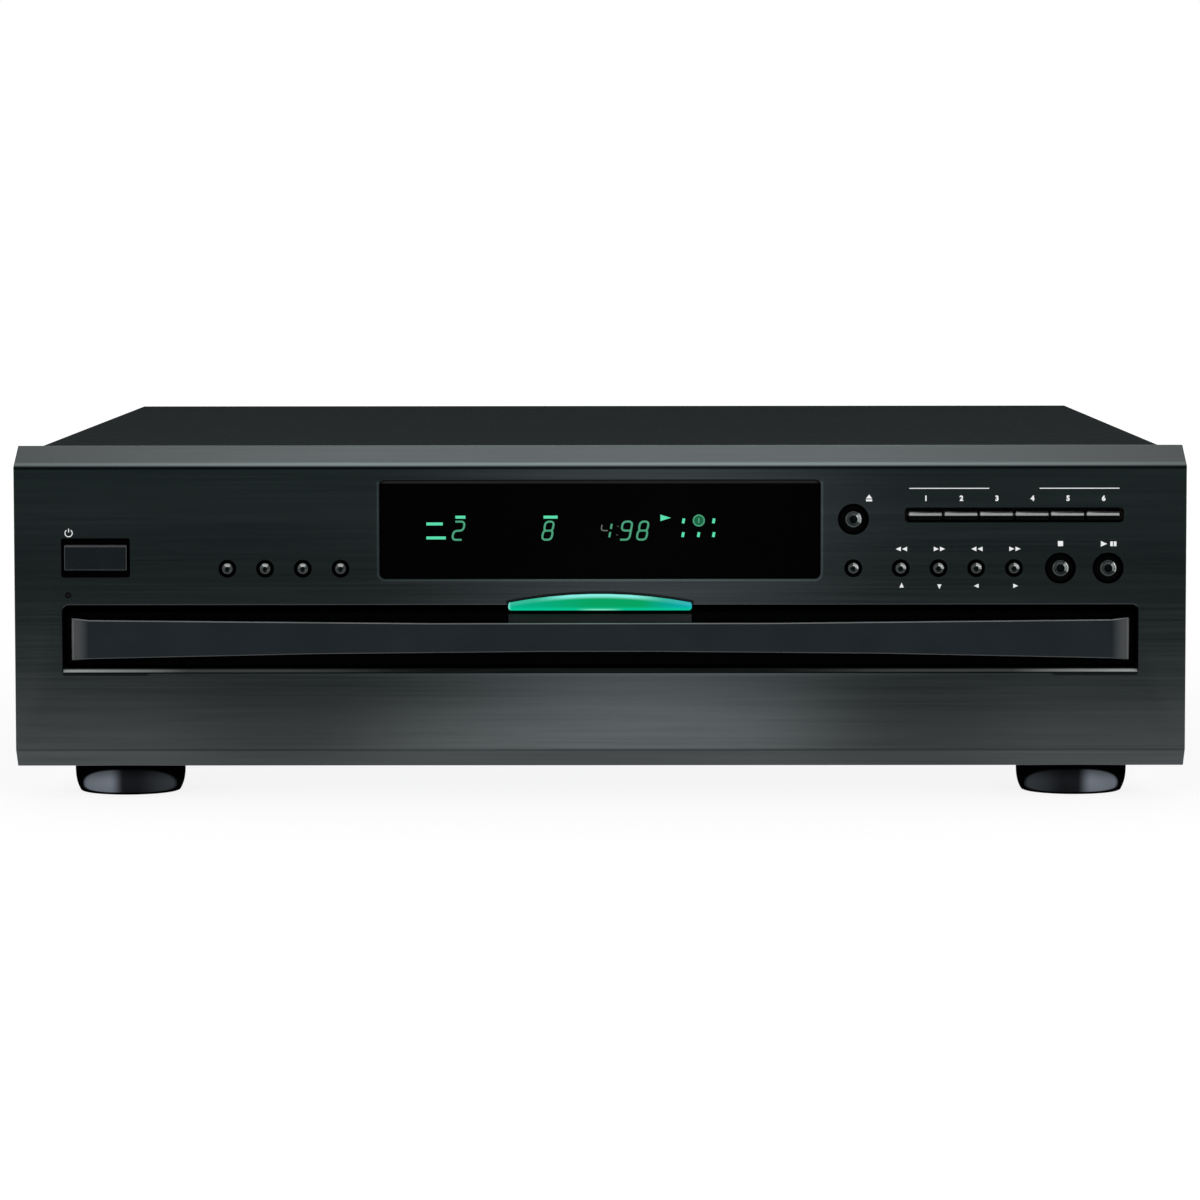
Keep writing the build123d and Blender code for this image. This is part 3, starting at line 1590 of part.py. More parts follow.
def sled_gear():
    gear_z = (sled_z - gear_over, sled_z + sled_rack_height + gear_over)
    phase = pi + pi / sled_teeth
    body = spur_gear(sled_teeth, sled_module, phase, sled_gear_x, sled_gear_y, gear_z)
    shaft_z = (base_top + sled_shaft_rise, gear_z[0])
    shaft = upright(sled_gear_x, sled_gear_y, shaft_z, sled_motor_shaft)
    return body + shaft


def lift_cam():
    low = -cam_pin_x - cam_travel - cam_end
    high = cam_pin_x + cam_end
    plate = block((low, high), (cam_y, cam_y + cam_sheet), (cam_bottom, cam_top))
    run = hypot(cam_travel, lift_travel)
    slope = degrees(acos(-cam_travel / run))
    slot = SlotCenterToCenter(run, 2 * (cam_pin_radius + cam_pin_gap))
    through = (cam_y - past, cam_y + cam_sheet + past)
    for x in (-cam_pin_x, cam_pin_x):
        middle = Pos(x - cam_travel / 2, pin_z + lift_travel / 2)
        plate -= front_cut(middle * Rot(0, 0, slope) * slot, through)
    rack = rack_outline(
        -(lift_gear_x + rack_margin), -(lift_gear_x - cam_travel - rack_margin),
        -lift_gear_x, drive_module, cam_spine
    )
    rack_y = lift_gear_y + drive_module * lift_teeth / 2
    band = (rack_band_z, rack_band_z + lift_gear_height)
    return plate + Pos(0, rack_y, 0) * raised(Rot(0, 0, 180) * rack, band)


def lift_motor():
    can = upright(
        lift_gear_x, lift_gear_y, (frame_top, rack_band_z - lift_motor_gap), lift_motor_radius
    )
    bore = (rack_band_z - lift_shaft_sink - motor_air, rack_band_z)
    return can - upright(lift_gear_x, lift_gear_y, bore, motor_shaft + shaft_fit)


def lift_gear():
    phase = pi / 2 + pi / lift_teeth
    z = (rack_band_z - lift_gear_over, rack_band_z + lift_gear_height + lift_gear_over)
    body = spur_gear(lift_teeth, drive_module, phase, lift_gear_x, lift_gear_y, z)
    shaft_z = (rack_band_z - lift_shaft_sink, z[0])
    shaft = upright(lift_gear_x, lift_gear_y, shaft_z, motor_shaft)
    return body + shaft


def clamp_bridge():
    depth = (play_y - bridge_half_depth, play_y + bridge_half_depth)
    plate = block((-chassis_inner, chassis_inner), depth, (bridge_z, bridge_top))
    rib_z_range = (bridge_z, bridge_top + bridge_rib)
    for y in (depth[0], depth[1] - bridge_sheet):
        plate += block((-chassis_inner, chassis_inner), (y, y + bridge_sheet), rib_z_range)
    tab = block((chassis_inner - bridge_sheet, chassis_inner), depth, (rail_lip_z, bridge_top))
    plate += both_sides(tab)
    through = (bridge_z - past, bridge_top + past)
    return plate - upright(0, play_y, through, puck_radius + bridge_gap)


def clamp_puck():
    flange_z = bridge_top + clamp_air
    body = upright(0, play_y, (puck_z, flange_z + puck_sheet), puck_radius)
    body += upright(0, play_y, (flange_z, flange_z + puck_sheet), puck_flange)
    pit = (puck_z - past, puck_z + puck_pit)
    return body - upright(0, play_y, pit, cone_radius + puck_pit_gap)


parts = {
    "bottom_chassis": bottom_chassis,
    "top_cover": top_cover,
    "rear_panel": rear_panel,
    "front_panel": front_panel,
    "feet": feet,
    "case_screws": case_screws,
    "display_window": display_window,
    "front_board": front_board,
    "light_bar": light_bar,
    "clamp_bridge": clamp_bridge,
    "clamp_puck": clamp_puck,
    "tray_rails": tray_rails,
    "mechanism_frame": mechanism_frame,
    "power_transformer": power_transformer,
    "main_board": main_board,
    "audio_jacks": audio_jacks,
    "digital_jacks": digital_jacks,
    "cord_gland": cord_gland,
    "tray": tray,
    "tray_door": tray_door,
    "door_trim": door_trim,
    "carousel_axle": carousel_axle,
    "carousel_motor": carousel_motor,
    "carousel_pinion": carousel_pinion,
    "carousel_idler_gear": carousel_idler_gear,
    "carousel": carousel,
    "loading_motor": loading_motor,
    "motor_pulley": motor_pulley,
    "loading_belt": loading_belt,
    "loading_gear": loading_gear,
    "pickup_base": pickup_base,
    "guide_rods": guide_rods,
    "spindle_motor": spindle_motor,
    "disc_turntable": disc_turntable,
    "laser_sled": laser_sled,
    "pickup_lens": pickup_lens,
    "sled_motor": sled_motor,
    "sled_gear": sled_gear,
    "lift_cam": lift_cam,
    "lift_motor": lift_motor,
    "lift_gear": lift_gear,
    "power_button": power_button,
}

os.makedirs("parts", exist_ok=True)
shapes = {name: make() for name, make in parts.items()}
for name, place in small_buttons.items():
    shapes[name] = round_button(place, small_ring, small_dome)
for name, place in large_buttons.items():
    shapes[name] = round_button(place, large_ring, large_dome)
for number in range(key_count):
    shapes[f"disc_{number + 1}_button"] = disc_key(number)
for name, shape in shapes.items():
    export_step(shape, f"parts/{name}.step")
print(len(shapes), "nodes")
print("tray travel", round(tray_travel, 3), "carousel at y", round(carousel_y, 3))
print("play position y", round(play_y, 3), "loading gear", round(loading_x, 3), round(loading_y, 3))
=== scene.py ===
import json
import math

import bmesh
import bpy
from mathutils import Matrix, Vector

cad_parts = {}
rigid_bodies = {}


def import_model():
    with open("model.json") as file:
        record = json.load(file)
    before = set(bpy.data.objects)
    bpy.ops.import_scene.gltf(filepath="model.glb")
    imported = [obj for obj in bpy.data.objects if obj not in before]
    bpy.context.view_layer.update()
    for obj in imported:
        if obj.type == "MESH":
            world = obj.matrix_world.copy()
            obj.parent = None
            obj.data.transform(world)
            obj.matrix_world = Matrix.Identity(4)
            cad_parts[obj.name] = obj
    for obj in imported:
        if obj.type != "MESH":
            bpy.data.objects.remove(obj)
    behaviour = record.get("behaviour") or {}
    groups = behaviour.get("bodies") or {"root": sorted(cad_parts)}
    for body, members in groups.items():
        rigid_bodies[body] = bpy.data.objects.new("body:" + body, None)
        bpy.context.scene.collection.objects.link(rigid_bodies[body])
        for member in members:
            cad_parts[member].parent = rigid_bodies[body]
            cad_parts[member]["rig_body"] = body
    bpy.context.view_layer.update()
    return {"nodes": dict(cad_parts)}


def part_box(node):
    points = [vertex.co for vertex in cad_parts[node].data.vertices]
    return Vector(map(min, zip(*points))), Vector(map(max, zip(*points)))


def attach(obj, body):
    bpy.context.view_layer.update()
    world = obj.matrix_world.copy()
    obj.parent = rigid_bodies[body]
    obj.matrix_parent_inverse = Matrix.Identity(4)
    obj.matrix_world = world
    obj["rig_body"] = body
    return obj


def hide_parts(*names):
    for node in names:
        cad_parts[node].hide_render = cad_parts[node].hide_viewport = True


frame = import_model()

print("frame loaded", len(frame["nodes"]), "nodes")

mm = 0.001
panelLow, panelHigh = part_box("front_panel")
windowLow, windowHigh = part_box("display_window")
lightLow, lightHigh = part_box("light_bar")
trimLow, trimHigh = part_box("door_trim")
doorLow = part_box("tray_door")[0]
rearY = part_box("rear_panel")[1].y
faceY = panelLow.y
ridgeZ = panelHigh.z - 7.5 * mm  # top of the flat front
bevelTop = panelLow.z + 6.5 * mm
windowFlange = 2.2 * mm  # the pane reaches this far behind the panel
windowCorner = 2.1 * mm
windowZ = (windowLow.z + windowHigh.z) / 2
archDrop = 3.3 * mm  # fall of the light bar's top edge towards its ends
slotLow = trimLow.z - 4.2 * mm  # lower edge of the lip under the tray slot
slotTop = lightLow.z + 2.2 * mm
slotEnd = trimHigh.x + 2.8 * mm


# Node helpers
class Value:
    # a node's output that can be used in plain sums
    def __init__(self, socket):
        self.socket = socket
        self.tree = socket.id_data

    def maths(self, operation, second=0.0, first=None):
        inputs = {0: self if first is None else first, 1: second}
        return addNode(self.tree, "ShaderNodeMath", "Value", inputs, operation=operation)

    def __add__(self, other):
        return self.maths("ADD", other)

    def __sub__(self, other):
        return self.maths("SUBTRACT", other)

    def __rsub__(self, other):
        return self.maths("SUBTRACT", self, other)

    def __mul__(self, other):
        return self.maths("MULTIPLY", other)

    def __truediv__(self, other):
        return self.maths("DIVIDE", other)

    def __pow__(self, other):
        return self.maths("POWER", other)

    def __abs__(self):
        return self.maths("ABSOLUTE")

    def atLeast(self, other):
        return self.maths("MAXIMUM", other)

    def range(self, start, end, low, high, **settings):
        return addNode(self.tree, "ShaderNodeMapRange", "Result", {
            "Value": self, "From Min": start, "From Max": end, "To Min": low, "To Max": high}, **settings)

    def spread(self, low, high, start=0.3, end=0.7):
        return self.range(start, end, low, high)

    def rise(self, start, end, high=1.0):
        return self.range(start, end, 0.0, high, interpolation_type="SMOOTHSTEP")

    def fall(self, start, end, high=1.0, low=0.0):
        return self.range(start, end, high, low, interpolation_type="SMOOTHSTEP")

    def band(self, low, high, soft=0.3 * mm):
        # 1 between low and high with soft edges
        return self.rise(low - soft / 2, low + soft / 2) * self.fall(high - soft / 2, high + soft / 2)


def feed(socket, value):
    # links a Value or sets a plain one, where a colour gets its alpha
    if isinstance(value, Value):
        socket.id_data.links.new(value.socket, socket)
    elif socket.type == "RGBA" and len(value) == 3:
        socket.default_value = (*value, 1)
    else:
        socket.default_value = value


def setSockets(node, settings):
    for label, value in settings.items():
        for item in value if isinstance(value, list) else [value]:
            feed(node.inputs[label], item)


def addNode(tree, kind, output, inputs=None, **settings):
    # gives the named output; a list goes into a socket that takes several links
    node = tree.nodes.new(kind)
    for label, value in settings.items():
        setattr(node, label, value)
    setSockets(node, inputs or {})
    return Value(node.outputs[output])


def splitVector(vector):
    node = vector.tree.nodes.new("ShaderNodeSeparateXYZ")
    feed(node.inputs["Vector"], vector)
    return [Value(output) for output in node.outputs]


def objectParts(tree):
    return splitVector(addNode(tree, "ShaderNodeTexCoord", "Object"))


def objectPoint(tree, scale=(1, 1, 1)):
    place = addNode(tree, "ShaderNodeTexCoord", "Object")
    return addNode(tree, "ShaderNodeMapping", "Vector", {"Vector": place, "Scale": scale})


def noise(point, scale, detail=3.0, rough=0.5):
    return addNode(point.tree, "ShaderNodeTexNoise", "Fac", {
        "Vector": point, "Scale": scale, "Detail": detail, "Roughness": rough})


def blend(factor, first, second):
    return addNode(factor.tree, "ShaderNodeMix", "Result",
                   {"A": first, "B": second, "Factor": factor}, data_type="RGBA")


def shaded(colour, masks):
    # each mask comes with the change in tone where it is 1
    gains = [mask * change + 1.0 for change, mask in masks]
    total = gains[0]
    for gain in gains[1:]:
        total = total * gain
    return addNode(colour.tree, "ShaderNodeVectorMath", "Vector", {0: colour, "Scale": total},
                   operation="SCALE")


def bump(shader, height, strength, distance):
    normal = addNode(height.tree, "ShaderNodeBump", "Normal",
                     {"Strength": strength, "Distance": distance, "Height": height})
    feed(shader.inputs["Normal"], normal)


def newMaterial(name, settings):
    material = bpy.data.materials.new(name)
    material.use_nodes = True
    shader = material.node_tree.nodes["Principled BSDF"]
    setSockets(shader, settings)
    return material, material.node_tree, shader


# Brushed panel
brushed = {
    "colour": (0.053, 0.060, 0.062),
    "lighter": (0.079, 0.087, 0.089),
    "roughness": (0.205, 0.25),
    "anisotropic": 0.64,
    "lines": (0.008, 1500.0, 0.55),  # stretch, scale and share of the grain
    "dashes": (0.03, 420.0, 0.45),
    "depth": 0.000012,
}
panelShades = {
    # painted light and shade on the flat front: change in tone, then reaches in mm
    # painted shade: a dark line under the front ridge
    "groove": (-0.93, -1.1, -0.3),  # from the front ridge
    # painted shade: a dark line under the lip towards the slot's ends
    "lipEnds": (-0.6, 168),
    # painted highlight on the panel's edge under the middle of the lip
    "lipMiddle": (0.35, 90, 168),
    # painted shade: a dark line at the top of the lower bevel
    "seam": (-0.4, -0.5, 0.35),  # from the top of the lower bevel
    # painted reflection: the lower middle is paler
    "glow": (0.42, 24, 44),  # full below, gone above
    # painted shade: the lower sides are darker
    "dip": (-0.22, 85, 150, 50),  # aside, and how soft
    # painted light: lighter towards the top
    "upper": (0.32, 86, 108),
    # painted highlight: a pale line round the window
    "rim": (1.0, 0.1, 1.0),  # round the window
    # painted shade: a dark line over the light bar
    "arch": (-0.72, -0.3, 1.25),  # over the light bar
}
panelReaches = {
    # where those shades end the other way, in mm
    "lip": (-1.1, 0.1),  # from the slot's lower edge
    "glow": (40, 122),  # aside
    "dip": (38, 60),  # upwards
    "arch": (0.5, 0.9),  # past the end of the light bar
}
# the chamfer is a dimmer, greener copy of the flat front's metal as painted shade, with a painted
# highlight line above the front ridge and painted shade towards its ends
chamferShades = {
    "tone": (0.69, 0.78, 0.78),
    "line": (1.55, 0.75, 1.65),  # change, mm above the front ridge
    "ends": (-0.46, 90, 212),
}


def inMetres(row):
    return [value * mm for value in row]


def panelShading(tree, colour):
    # painted light and shade on the flat front: painted dark lines under the front ridge, under the lip's
    # ends and at the top of the lower bevel, painted shade on the lower sides, painted highlights under
    # the lip's middle and as the line round the window, a painted dark line over the light bar, painted
    # reflection making the lower middle paler, and painted light towards the top
    shades = {key: inMetres(row[1:]) for key, row in panelShades.items()}
    reaches = {key: inMetres(row) for key, row in panelReaches.items()}
    x, _, up = objectParts(tree)
    aside = abs(x)
    lip = (up - slotLow).band(*reaches["lip"])
    glow = up.fall(*shades["glow"]) * aside.fall(*reaches["glow"])
    side = (aside - (windowHigh.x - windowFlange) + windowCorner).atLeast(0.0)
    end = (windowLow.z + windowFlange + windowCorner - up).atLeast(0.0)
    away = (side ** 2.0 + end ** 2.0) ** 0.5 - windowCorner
    windowTop = windowHigh.z - windowFlange
    over = up + (aside / lightHigh.x) ** 2.0 * archDrop - lightHigh.z
    within = [lightHigh.x + reach for reach in reaches["arch"]]
    # masks of the painted light and shade listed in panelShades
    masks = {
        "groove": (up - ridgeZ).rise(*shades["groove"]),
        "lipEnds": lip * aside.band(*shades["lipEnds"], slotEnd, 1.0 * mm),
        "lipMiddle": lip * aside.fall(*shades["lipMiddle"]),
        "seam": (up - bevelTop).band(*shades["seam"]),
        "glow": glow * up.rise(bevelTop - 0.3 * mm, bevelTop),
        "dip": aside.band(*shades["dip"]) * up.fall(*reaches["dip"]),
        "upper": up.rise(*shades["upper"]),
        "rim": away.band(*shades["rim"]) * up.fall(windowTop - 1.0 * mm, windowTop),
        "arch": over.band(*shades["arch"]) * aside.fall(*within),
    }
    return shaded(colour, [(panelShades[key][0], mask) for key, mask in masks.items()])


def chamferShading(tree, colour):
    # painted highlight line above the front ridge, painted shade towards the ends
    x, _, up = objectParts(tree)
    change, low, high = chamferShades["line"]
    line = (up - ridgeZ).band(low * mm, high * mm, 0.5 * mm)
    dimmer, near, far = chamferShades["ends"]
    return shaded(colour, [(change, line), (dimmer, abs(x).spread(0, 1, near * mm, far * mm))])


def brushedPanel(name, tone, shading):
    # the grain runs along X, so a highlight spreads along Z
    material, tree, shader = newMaterial(name, {"Metallic": 1.0, "Anisotropic": brushed["anisotropic"]})
    (stretch, scale, share), (dashStretch, dashScale, dashShare) = brushed["lines"], brushed["dashes"]
    lines = noise(objectPoint(tree, (stretch, 1, 1)), scale, 2.0)
    dashes = noise(objectPoint(tree, (dashStretch, 1, 1)), dashScale, 3.0, 0.6)
    mixed = lines * share + dashes * dashShare
    dark, light = [tuple(part * gain for part, gain in zip(brushed[key], tone))
                   for key in ("colour", "lighter")]
    setSockets(shader, {
        "Base Color": shading(tree, blend(mixed.spread(0, 1), dark, light)),
        "Roughness": lines.spread(*brushed["roughness"]),
        "Tangent": addNode(tree, "ShaderNodeCombineXYZ", "Vector", {"Z": 1.0})})
    bump(shader, mixed, 0.4, brushed["depth"])
    return material


# Plain finishes
def plastic(name, colour, roughness, grain=0.0, grainScale=900.0, specular=0.5, vary=0.25):
    # moulded plastic or paint, with a fine grain and a slight shift in tone
    material, tree, shader = newMaterial(name, {"Specular IOR Level": specular})
    point = objectPoint(tree)
    lighter = tuple(min(1.0, part * (1 + vary)) for part in colour)
    cloud = noise(point, 140.0, 5.0, 0.6)
    setSockets(shader, {"Base Color": blend(noise(point, 35.0, 4.0).spread(0, 1), colour, lighter),
                        "Roughness": cloud.spread(roughness * 0.88, roughness * 1.12)})
    if grain:
        bump(shader, noise(point, grainScale, 2.0), 0.4, grain)
    return material


def metal(name, colour, roughness, stretch=(1, 1, 1), scale=600.0, depth=0.000004, vary=0.12):
    material, tree, shader = newMaterial(name, {"Metallic": 1.0})
    lines = noise(objectPoint(tree, stretch), scale)
    patches = noise(objectPoint(tree), 26.0, 4.0)
    darker = tuple(part * (1 - vary) for part in colour)
    setSockets(shader, {"Base Color": blend(patches.spread(0, 1), darker, colour),
                        "Roughness": lines.spread(roughness * 0.8, roughness * 1.2)})
    bump(shader, lines, 0.3, depth)
    return material


def glow(name, colour, strength):
    material, tree, shader = newMaterial(name, {
        "Base Color": tuple(part * 0.3 for part in colour), "Roughness": 0.35,
        "Specular IOR Level": 0.3, "Emission Strength": strength})
    lighter = tuple(min(1.0, part * 1.15) for part in colour)
    cloud = noise(objectPoint(tree), 900.0, 2.0)
    feed(shader.inputs["Emission Color"], blend(cloud.spread(0, 1), colour, lighter))
    return material


def zincPlate():
    # plated sheet: small crystals of slightly different tone under a thin grain
    material, tree, shader = newMaterial("zincPlate", {"Metallic": 1.0})
    cells = addNode(tree, "ShaderNodeTexVoronoi", "Color", {"Scale": 130.0, "Vector": objectPoint(tree)})
    red, green = [addNode(tree, "ShaderNodeSeparateColor", part, {"Color": cells})
                  for part in ("Red", "Green")]
    setSockets(shader, {"Base Color": blend(red, (0.50, 0.515, 0.53), (0.63, 0.64, 0.655)),
                        "Roughness": green.spread(0.32, 0.46, 0.0, 1.0)})
    bump(shader, noise(objectPoint(tree), 500.0), 0.3, 0.000006)
    return material


def circuitBoard(name, mask, copper):
    # solder mask with paler runs of copper under it
    material, tree, shader = newMaterial(name, {"Roughness": 0.35, "Specular IOR Level": 0.45})
    runs = addNode(tree, "ShaderNodeTexBrick", "Color", {
        "Scale": 1.0, "Mortar Size": 0.0006, "Mortar Smooth": 0.1, "Brick Width": 0.011,
        "Row Height": 0.0032, "Color1": mask, "Color2": tuple(part * 0.8 for part in mask),
        "Mortar": copper, "Vector": objectPoint(tree)})
    feed(shader.inputs["Base Color"], runs)
    bump(shader, Value(runs.socket.node.outputs["Fac"]), 0.4, 0.00003)
    return material


# Finishes with a pattern of their own
lightFinish = {
    "left": (0.0, 0.44, 0.26),
    "middle": (0.0, 0.36, 0.115),
    "right": (0.0, 0.40, 0.46),
    "middleReach": (0.1, 0.45),  # to the left and right, in shares of the half width
    "top": (0.27, 0.88, 0.81),
    "topBand": (1.75, 0.35),  # mm below the arched top edge
    "topReach": (0.3, 0.75, 1.0, 0.15),  # where the top band fades, and from what to what
    "patch": (0.22, 0.86, 0.62),
    "patchReach": (0.05, 0.28),
    "patchHeight": (0.2, 0.9),  # mm above the lower edge
    "foot": (0.0, 0.57, 0.30),
    "footHeight": (0.3, 1.7),
    "tip": (-0.995, -0.965, 0.6),
    "depths": (0.95, 0.85, 0.8),  # of the top, the foot and the patch
    "strength": 0.98,
}


def litBar():
    # lighter along the arched top, bluer at the right end
    material, tree, shader = newMaterial("litBar", {
        "Roughness": 0.25, "Specular IOR Level": 0.05, "Base Color": (0.0, 0.01, 0.006),
        "Emission Strength": lightFinish["strength"]})
    across, _, up = objectParts(tree)
    share = across / lightHigh.x
    aside = abs(share)
    topLow, topHigh = [lightHigh.z - reach for reach in inMetres(lightFinish["topBand"])]
    footReach, patchReach = [[lightLow.z + reach for reach in inMetres(lightFinish[key])]
                             for key in ("footHeight", "patchHeight")]
    topDepth, footDepth, patchDepth = lightFinish["depths"]
    leftEnd, rightStart = lightFinish["middleReach"]
    top = (up + share * share * archDrop).rise(topLow, topHigh, topDepth)
    body = blend(across.spread(0, 1, lightLow.x, leftEnd * lightLow.x), lightFinish["left"],
                 lightFinish["middle"])
    for mask, key in (
            (across.spread(0, 1, rightStart * lightHigh.x, lightHigh.x), "right"),
            (top * aside.fall(*lightFinish["topReach"]), "top"),
            (up.fall(*footReach, footDepth), "foot"),
            (up.fall(*patchReach, patchDepth) * aside.fall(*lightFinish["patchReach"]), "patch"),
            (share.fall(*lightFinish["tip"]), "top")):
        body = blend(mask, body, lightFinish[key])
    feed(shader.inputs["Emission Color"], body)
    return material


lipFinish = {
    # painted highlight on the lip: bright near the ends, faint in the middle, dull elsewhere
    "dull": (0.008, 0.009, 0.009),
    "duller": (0.013, 0.015, 0.015),
    "bright": (0.50, 0.52, 0.52),
    "nearEnd": (142, 182, 0.66),  # mm aside, share
    "tip": (176, 200, 0.34),
    "faint": (60, 120, 0.13),
    "edge": (0.0, 0.5, 0.8, 1.5),  # mm above the slot's lower edge
}


def slotLip():
    # machined edge under the tray slot, with a painted highlight brightest towards its ends
    material, tree, shader = newMaterial("slotLip", {"Metallic": 1.0, "Roughness": 0.35})
    x, _, up = objectParts(tree)
    nearEnd, tip, faint = [abs(x).rise(low * mm, high * mm, share)
                           for low, high, share in map(lipFinish.get, ("nearEnd", "tip", "faint"))]
    start, full, end, gone = [slotLow + reach for reach in inMetres(lipFinish["edge"])]
    edge = up.rise(start, full) * up.fall(end, gone)
    grain = noise(objectPoint(tree, (0.05, 1, 1)), 900.0, 2.0)
    dull = blend(grain.spread(0, 1), lipFinish["dull"], lipFinish["duller"])
    feed(shader.inputs["Base Color"], blend((nearEnd + tip).atLeast(faint) * edge, dull,
                                            lipFinish["bright"]))
    return material


paneTone = {
    "black": (0.0006, 0.0005, 0.0006),
    "lighter": (0.0008, 0.0007, 0.0008),
    # painted highlight line
    "line": (0.016, 0.0165, 0.017),
    "lineBelow": (1.3, 0.1, 0.4),  # mm under the pane's top edge, then how soft
}


def windowPane():
    # dark pane with a painted grey highlight line along its top edge
    material, tree, shader = newMaterial("windowPane", {"Roughness": 0.05, "Specular IOR Level": 0.015})
    cloud = noise(objectPoint(tree), 35.0, 4.0)
    colour = blend(cloud.spread(0, 1), paneTone["black"], paneTone["lighter"])
    top = windowHigh.z - windowFlange
    low, high, soft = inMetres(paneTone["lineBelow"])
    line = objectParts(tree)[2].band(top - low, top - high, soft)
    feed(shader.inputs["Base Color"], blend(line, colour, paneTone["line"]))
    return material


trimTone = {
    "face": (0.0115, 0.0160, 0.0185),
    "lighter": (0.0140, 0.0190, 0.0225),
    # painted reflection towards the trim's ends and tips
    "end": (0.100, 0.105, 0.105),
    "tip": (0.190, 0.195, 0.190),
    "endWidth": 6.5 * mm,
    "tipWidth": (1.1 * mm, 0.6 * mm),
}


def trimFace():
    # painted reflection: the end planes lighten towards their tips
    material, tree, shader = newMaterial("trimFace", {"Roughness": 0.32, "Specular IOR Level": 0.05})
    half = trimHigh.x
    cloud = noise(objectPoint(tree), 60.0, 4.0)
    aside = abs(objectParts(tree)[0])
    colour = blend(cloud.spread(0, 1), trimTone["face"], trimTone["lighter"])
    colour = blend(aside.spread(0.0, 1.0, half - trimTone["endWidth"], half), colour, trimTone["end"])
    tip = aside.rise(*[half - width for width in trimTone["tipWidth"]], 0.8)
    feed(shader.inputs["Base Color"], blend(tip, colour, trimTone["tip"]))
    bump(shader, noise(objectPoint(tree), 2400.0, 2.0), 0.4, 0.000006)
    return material


keyTone = {
    "black": (0.0007, 0.0007, 0.0008),
    "lighter": (0.0010, 0.0010, 0.0011),
    # painted highlight line under the key's top
    "edge": (0.29, 0.295, 0.295),
    "edgeBelow": (1.6, 0.9),  # mm under the key's top
    "flange": 1.7 * mm,  # hidden behind the panel
}


def keyFace():
    # black key with a painted pale highlight along its upper edge
    material, tree, shader = newMaterial("keyFace", {"Roughness": 0.3, "Specular IOR Level": 0.06})
    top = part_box("disc_1_button")[1].z - keyTone["flange"]
    grain = noise(objectPoint(tree, (0.05, 1, 1)), 1500.0, 2.0)
    colour = blend(grain.spread(0, 1), keyTone["black"], keyTone["lighter"])
    edge = objectParts(tree)[2].band(*[top - reach for reach in inMetres(keyTone["edgeBelow"])])
    feed(shader.inputs["Base Color"], blend(edge, colour, keyTone["edge"]))
    return material


footTone = {
    "black": (0.0010, 0.0012, 0.0016),
    "blackLighter": (0.0016, 0.0019, 0.0024),
    # painted reflection on the foot: the patch's tones, lightest outward
    "middle": (0.0110, 0.0125, 0.0145),
    "outer": (0.200, 0.225, 0.262),
    "outerReach": (1.5 * mm, 7.0 * mm),  # outward of the foot's middle
    "inner": (0.072, 0.080, 0.090),
    "innerReach": (-20.0 * mm, -3.0 * mm),
    "footX": 177.2 * mm,
    "footFront": 202.5 * mm,
    "tilt": 0.075,  # rise of the patch towards the foot's sides
    "patchMiddle": 4.2 * mm,
    "side": (17.7 * mm, 2.8),  # reach and power of the patch's outline
    "above": (5.5 * mm, 2.2),
    "below": (3.4 * mm, 3.5),
    "edge": 5.0,  # how hard the patch ends
    # painted shade: the patch darkens upwards
    "fade": (4.5 * mm, 10.5 * mm),  # upwards
    "fadeChange": -0.52,
}


def footBlack():
    # painted reflection: a paler patch on the middle of the foot, lightest on its outward side, darkest
    # in front, with painted shade towards its top
    material, tree, shader = newMaterial("footBlack", {"Roughness": 0.4, "Specular IOR Level": 0.0})
    x, y, z = objectParts(tree)
    outward = abs(x) - footTone["footX"]
    up = z + (footTone["footFront"] - abs(y)) * footTone["tilt"]
    height = up - footTone["patchMiddle"]
    within = 1.0
    for value, key in ((abs(outward), "side"), (height.atLeast(0.0), "above"),
                       ((height * -1.0).atLeast(0.0), "below")):
        reach, power = footTone[key]
        within = within - (value / reach) ** power
    mask = addNode(tree, "ShaderNodeClamp", "Result", {"Value": within * footTone["edge"]})
    cloud = noise(objectPoint(tree), 90.0)
    colour = blend(cloud.spread(0, 1), footTone["black"], footTone["blackLighter"])
    for share, key in ((mask, "middle"),
                       (mask * outward.rise(*footTone["outerReach"]), "outer"),
                       (mask * outward.fall(*footTone["innerReach"]), "inner")):
        colour = blend(share, colour, footTone[key])
    dimmed = shaded(colour, [(footTone["fadeChange"], up.rise(*footTone["fade"]))])
    feed(shader.inputs["Base Color"], dimmed)
    return material


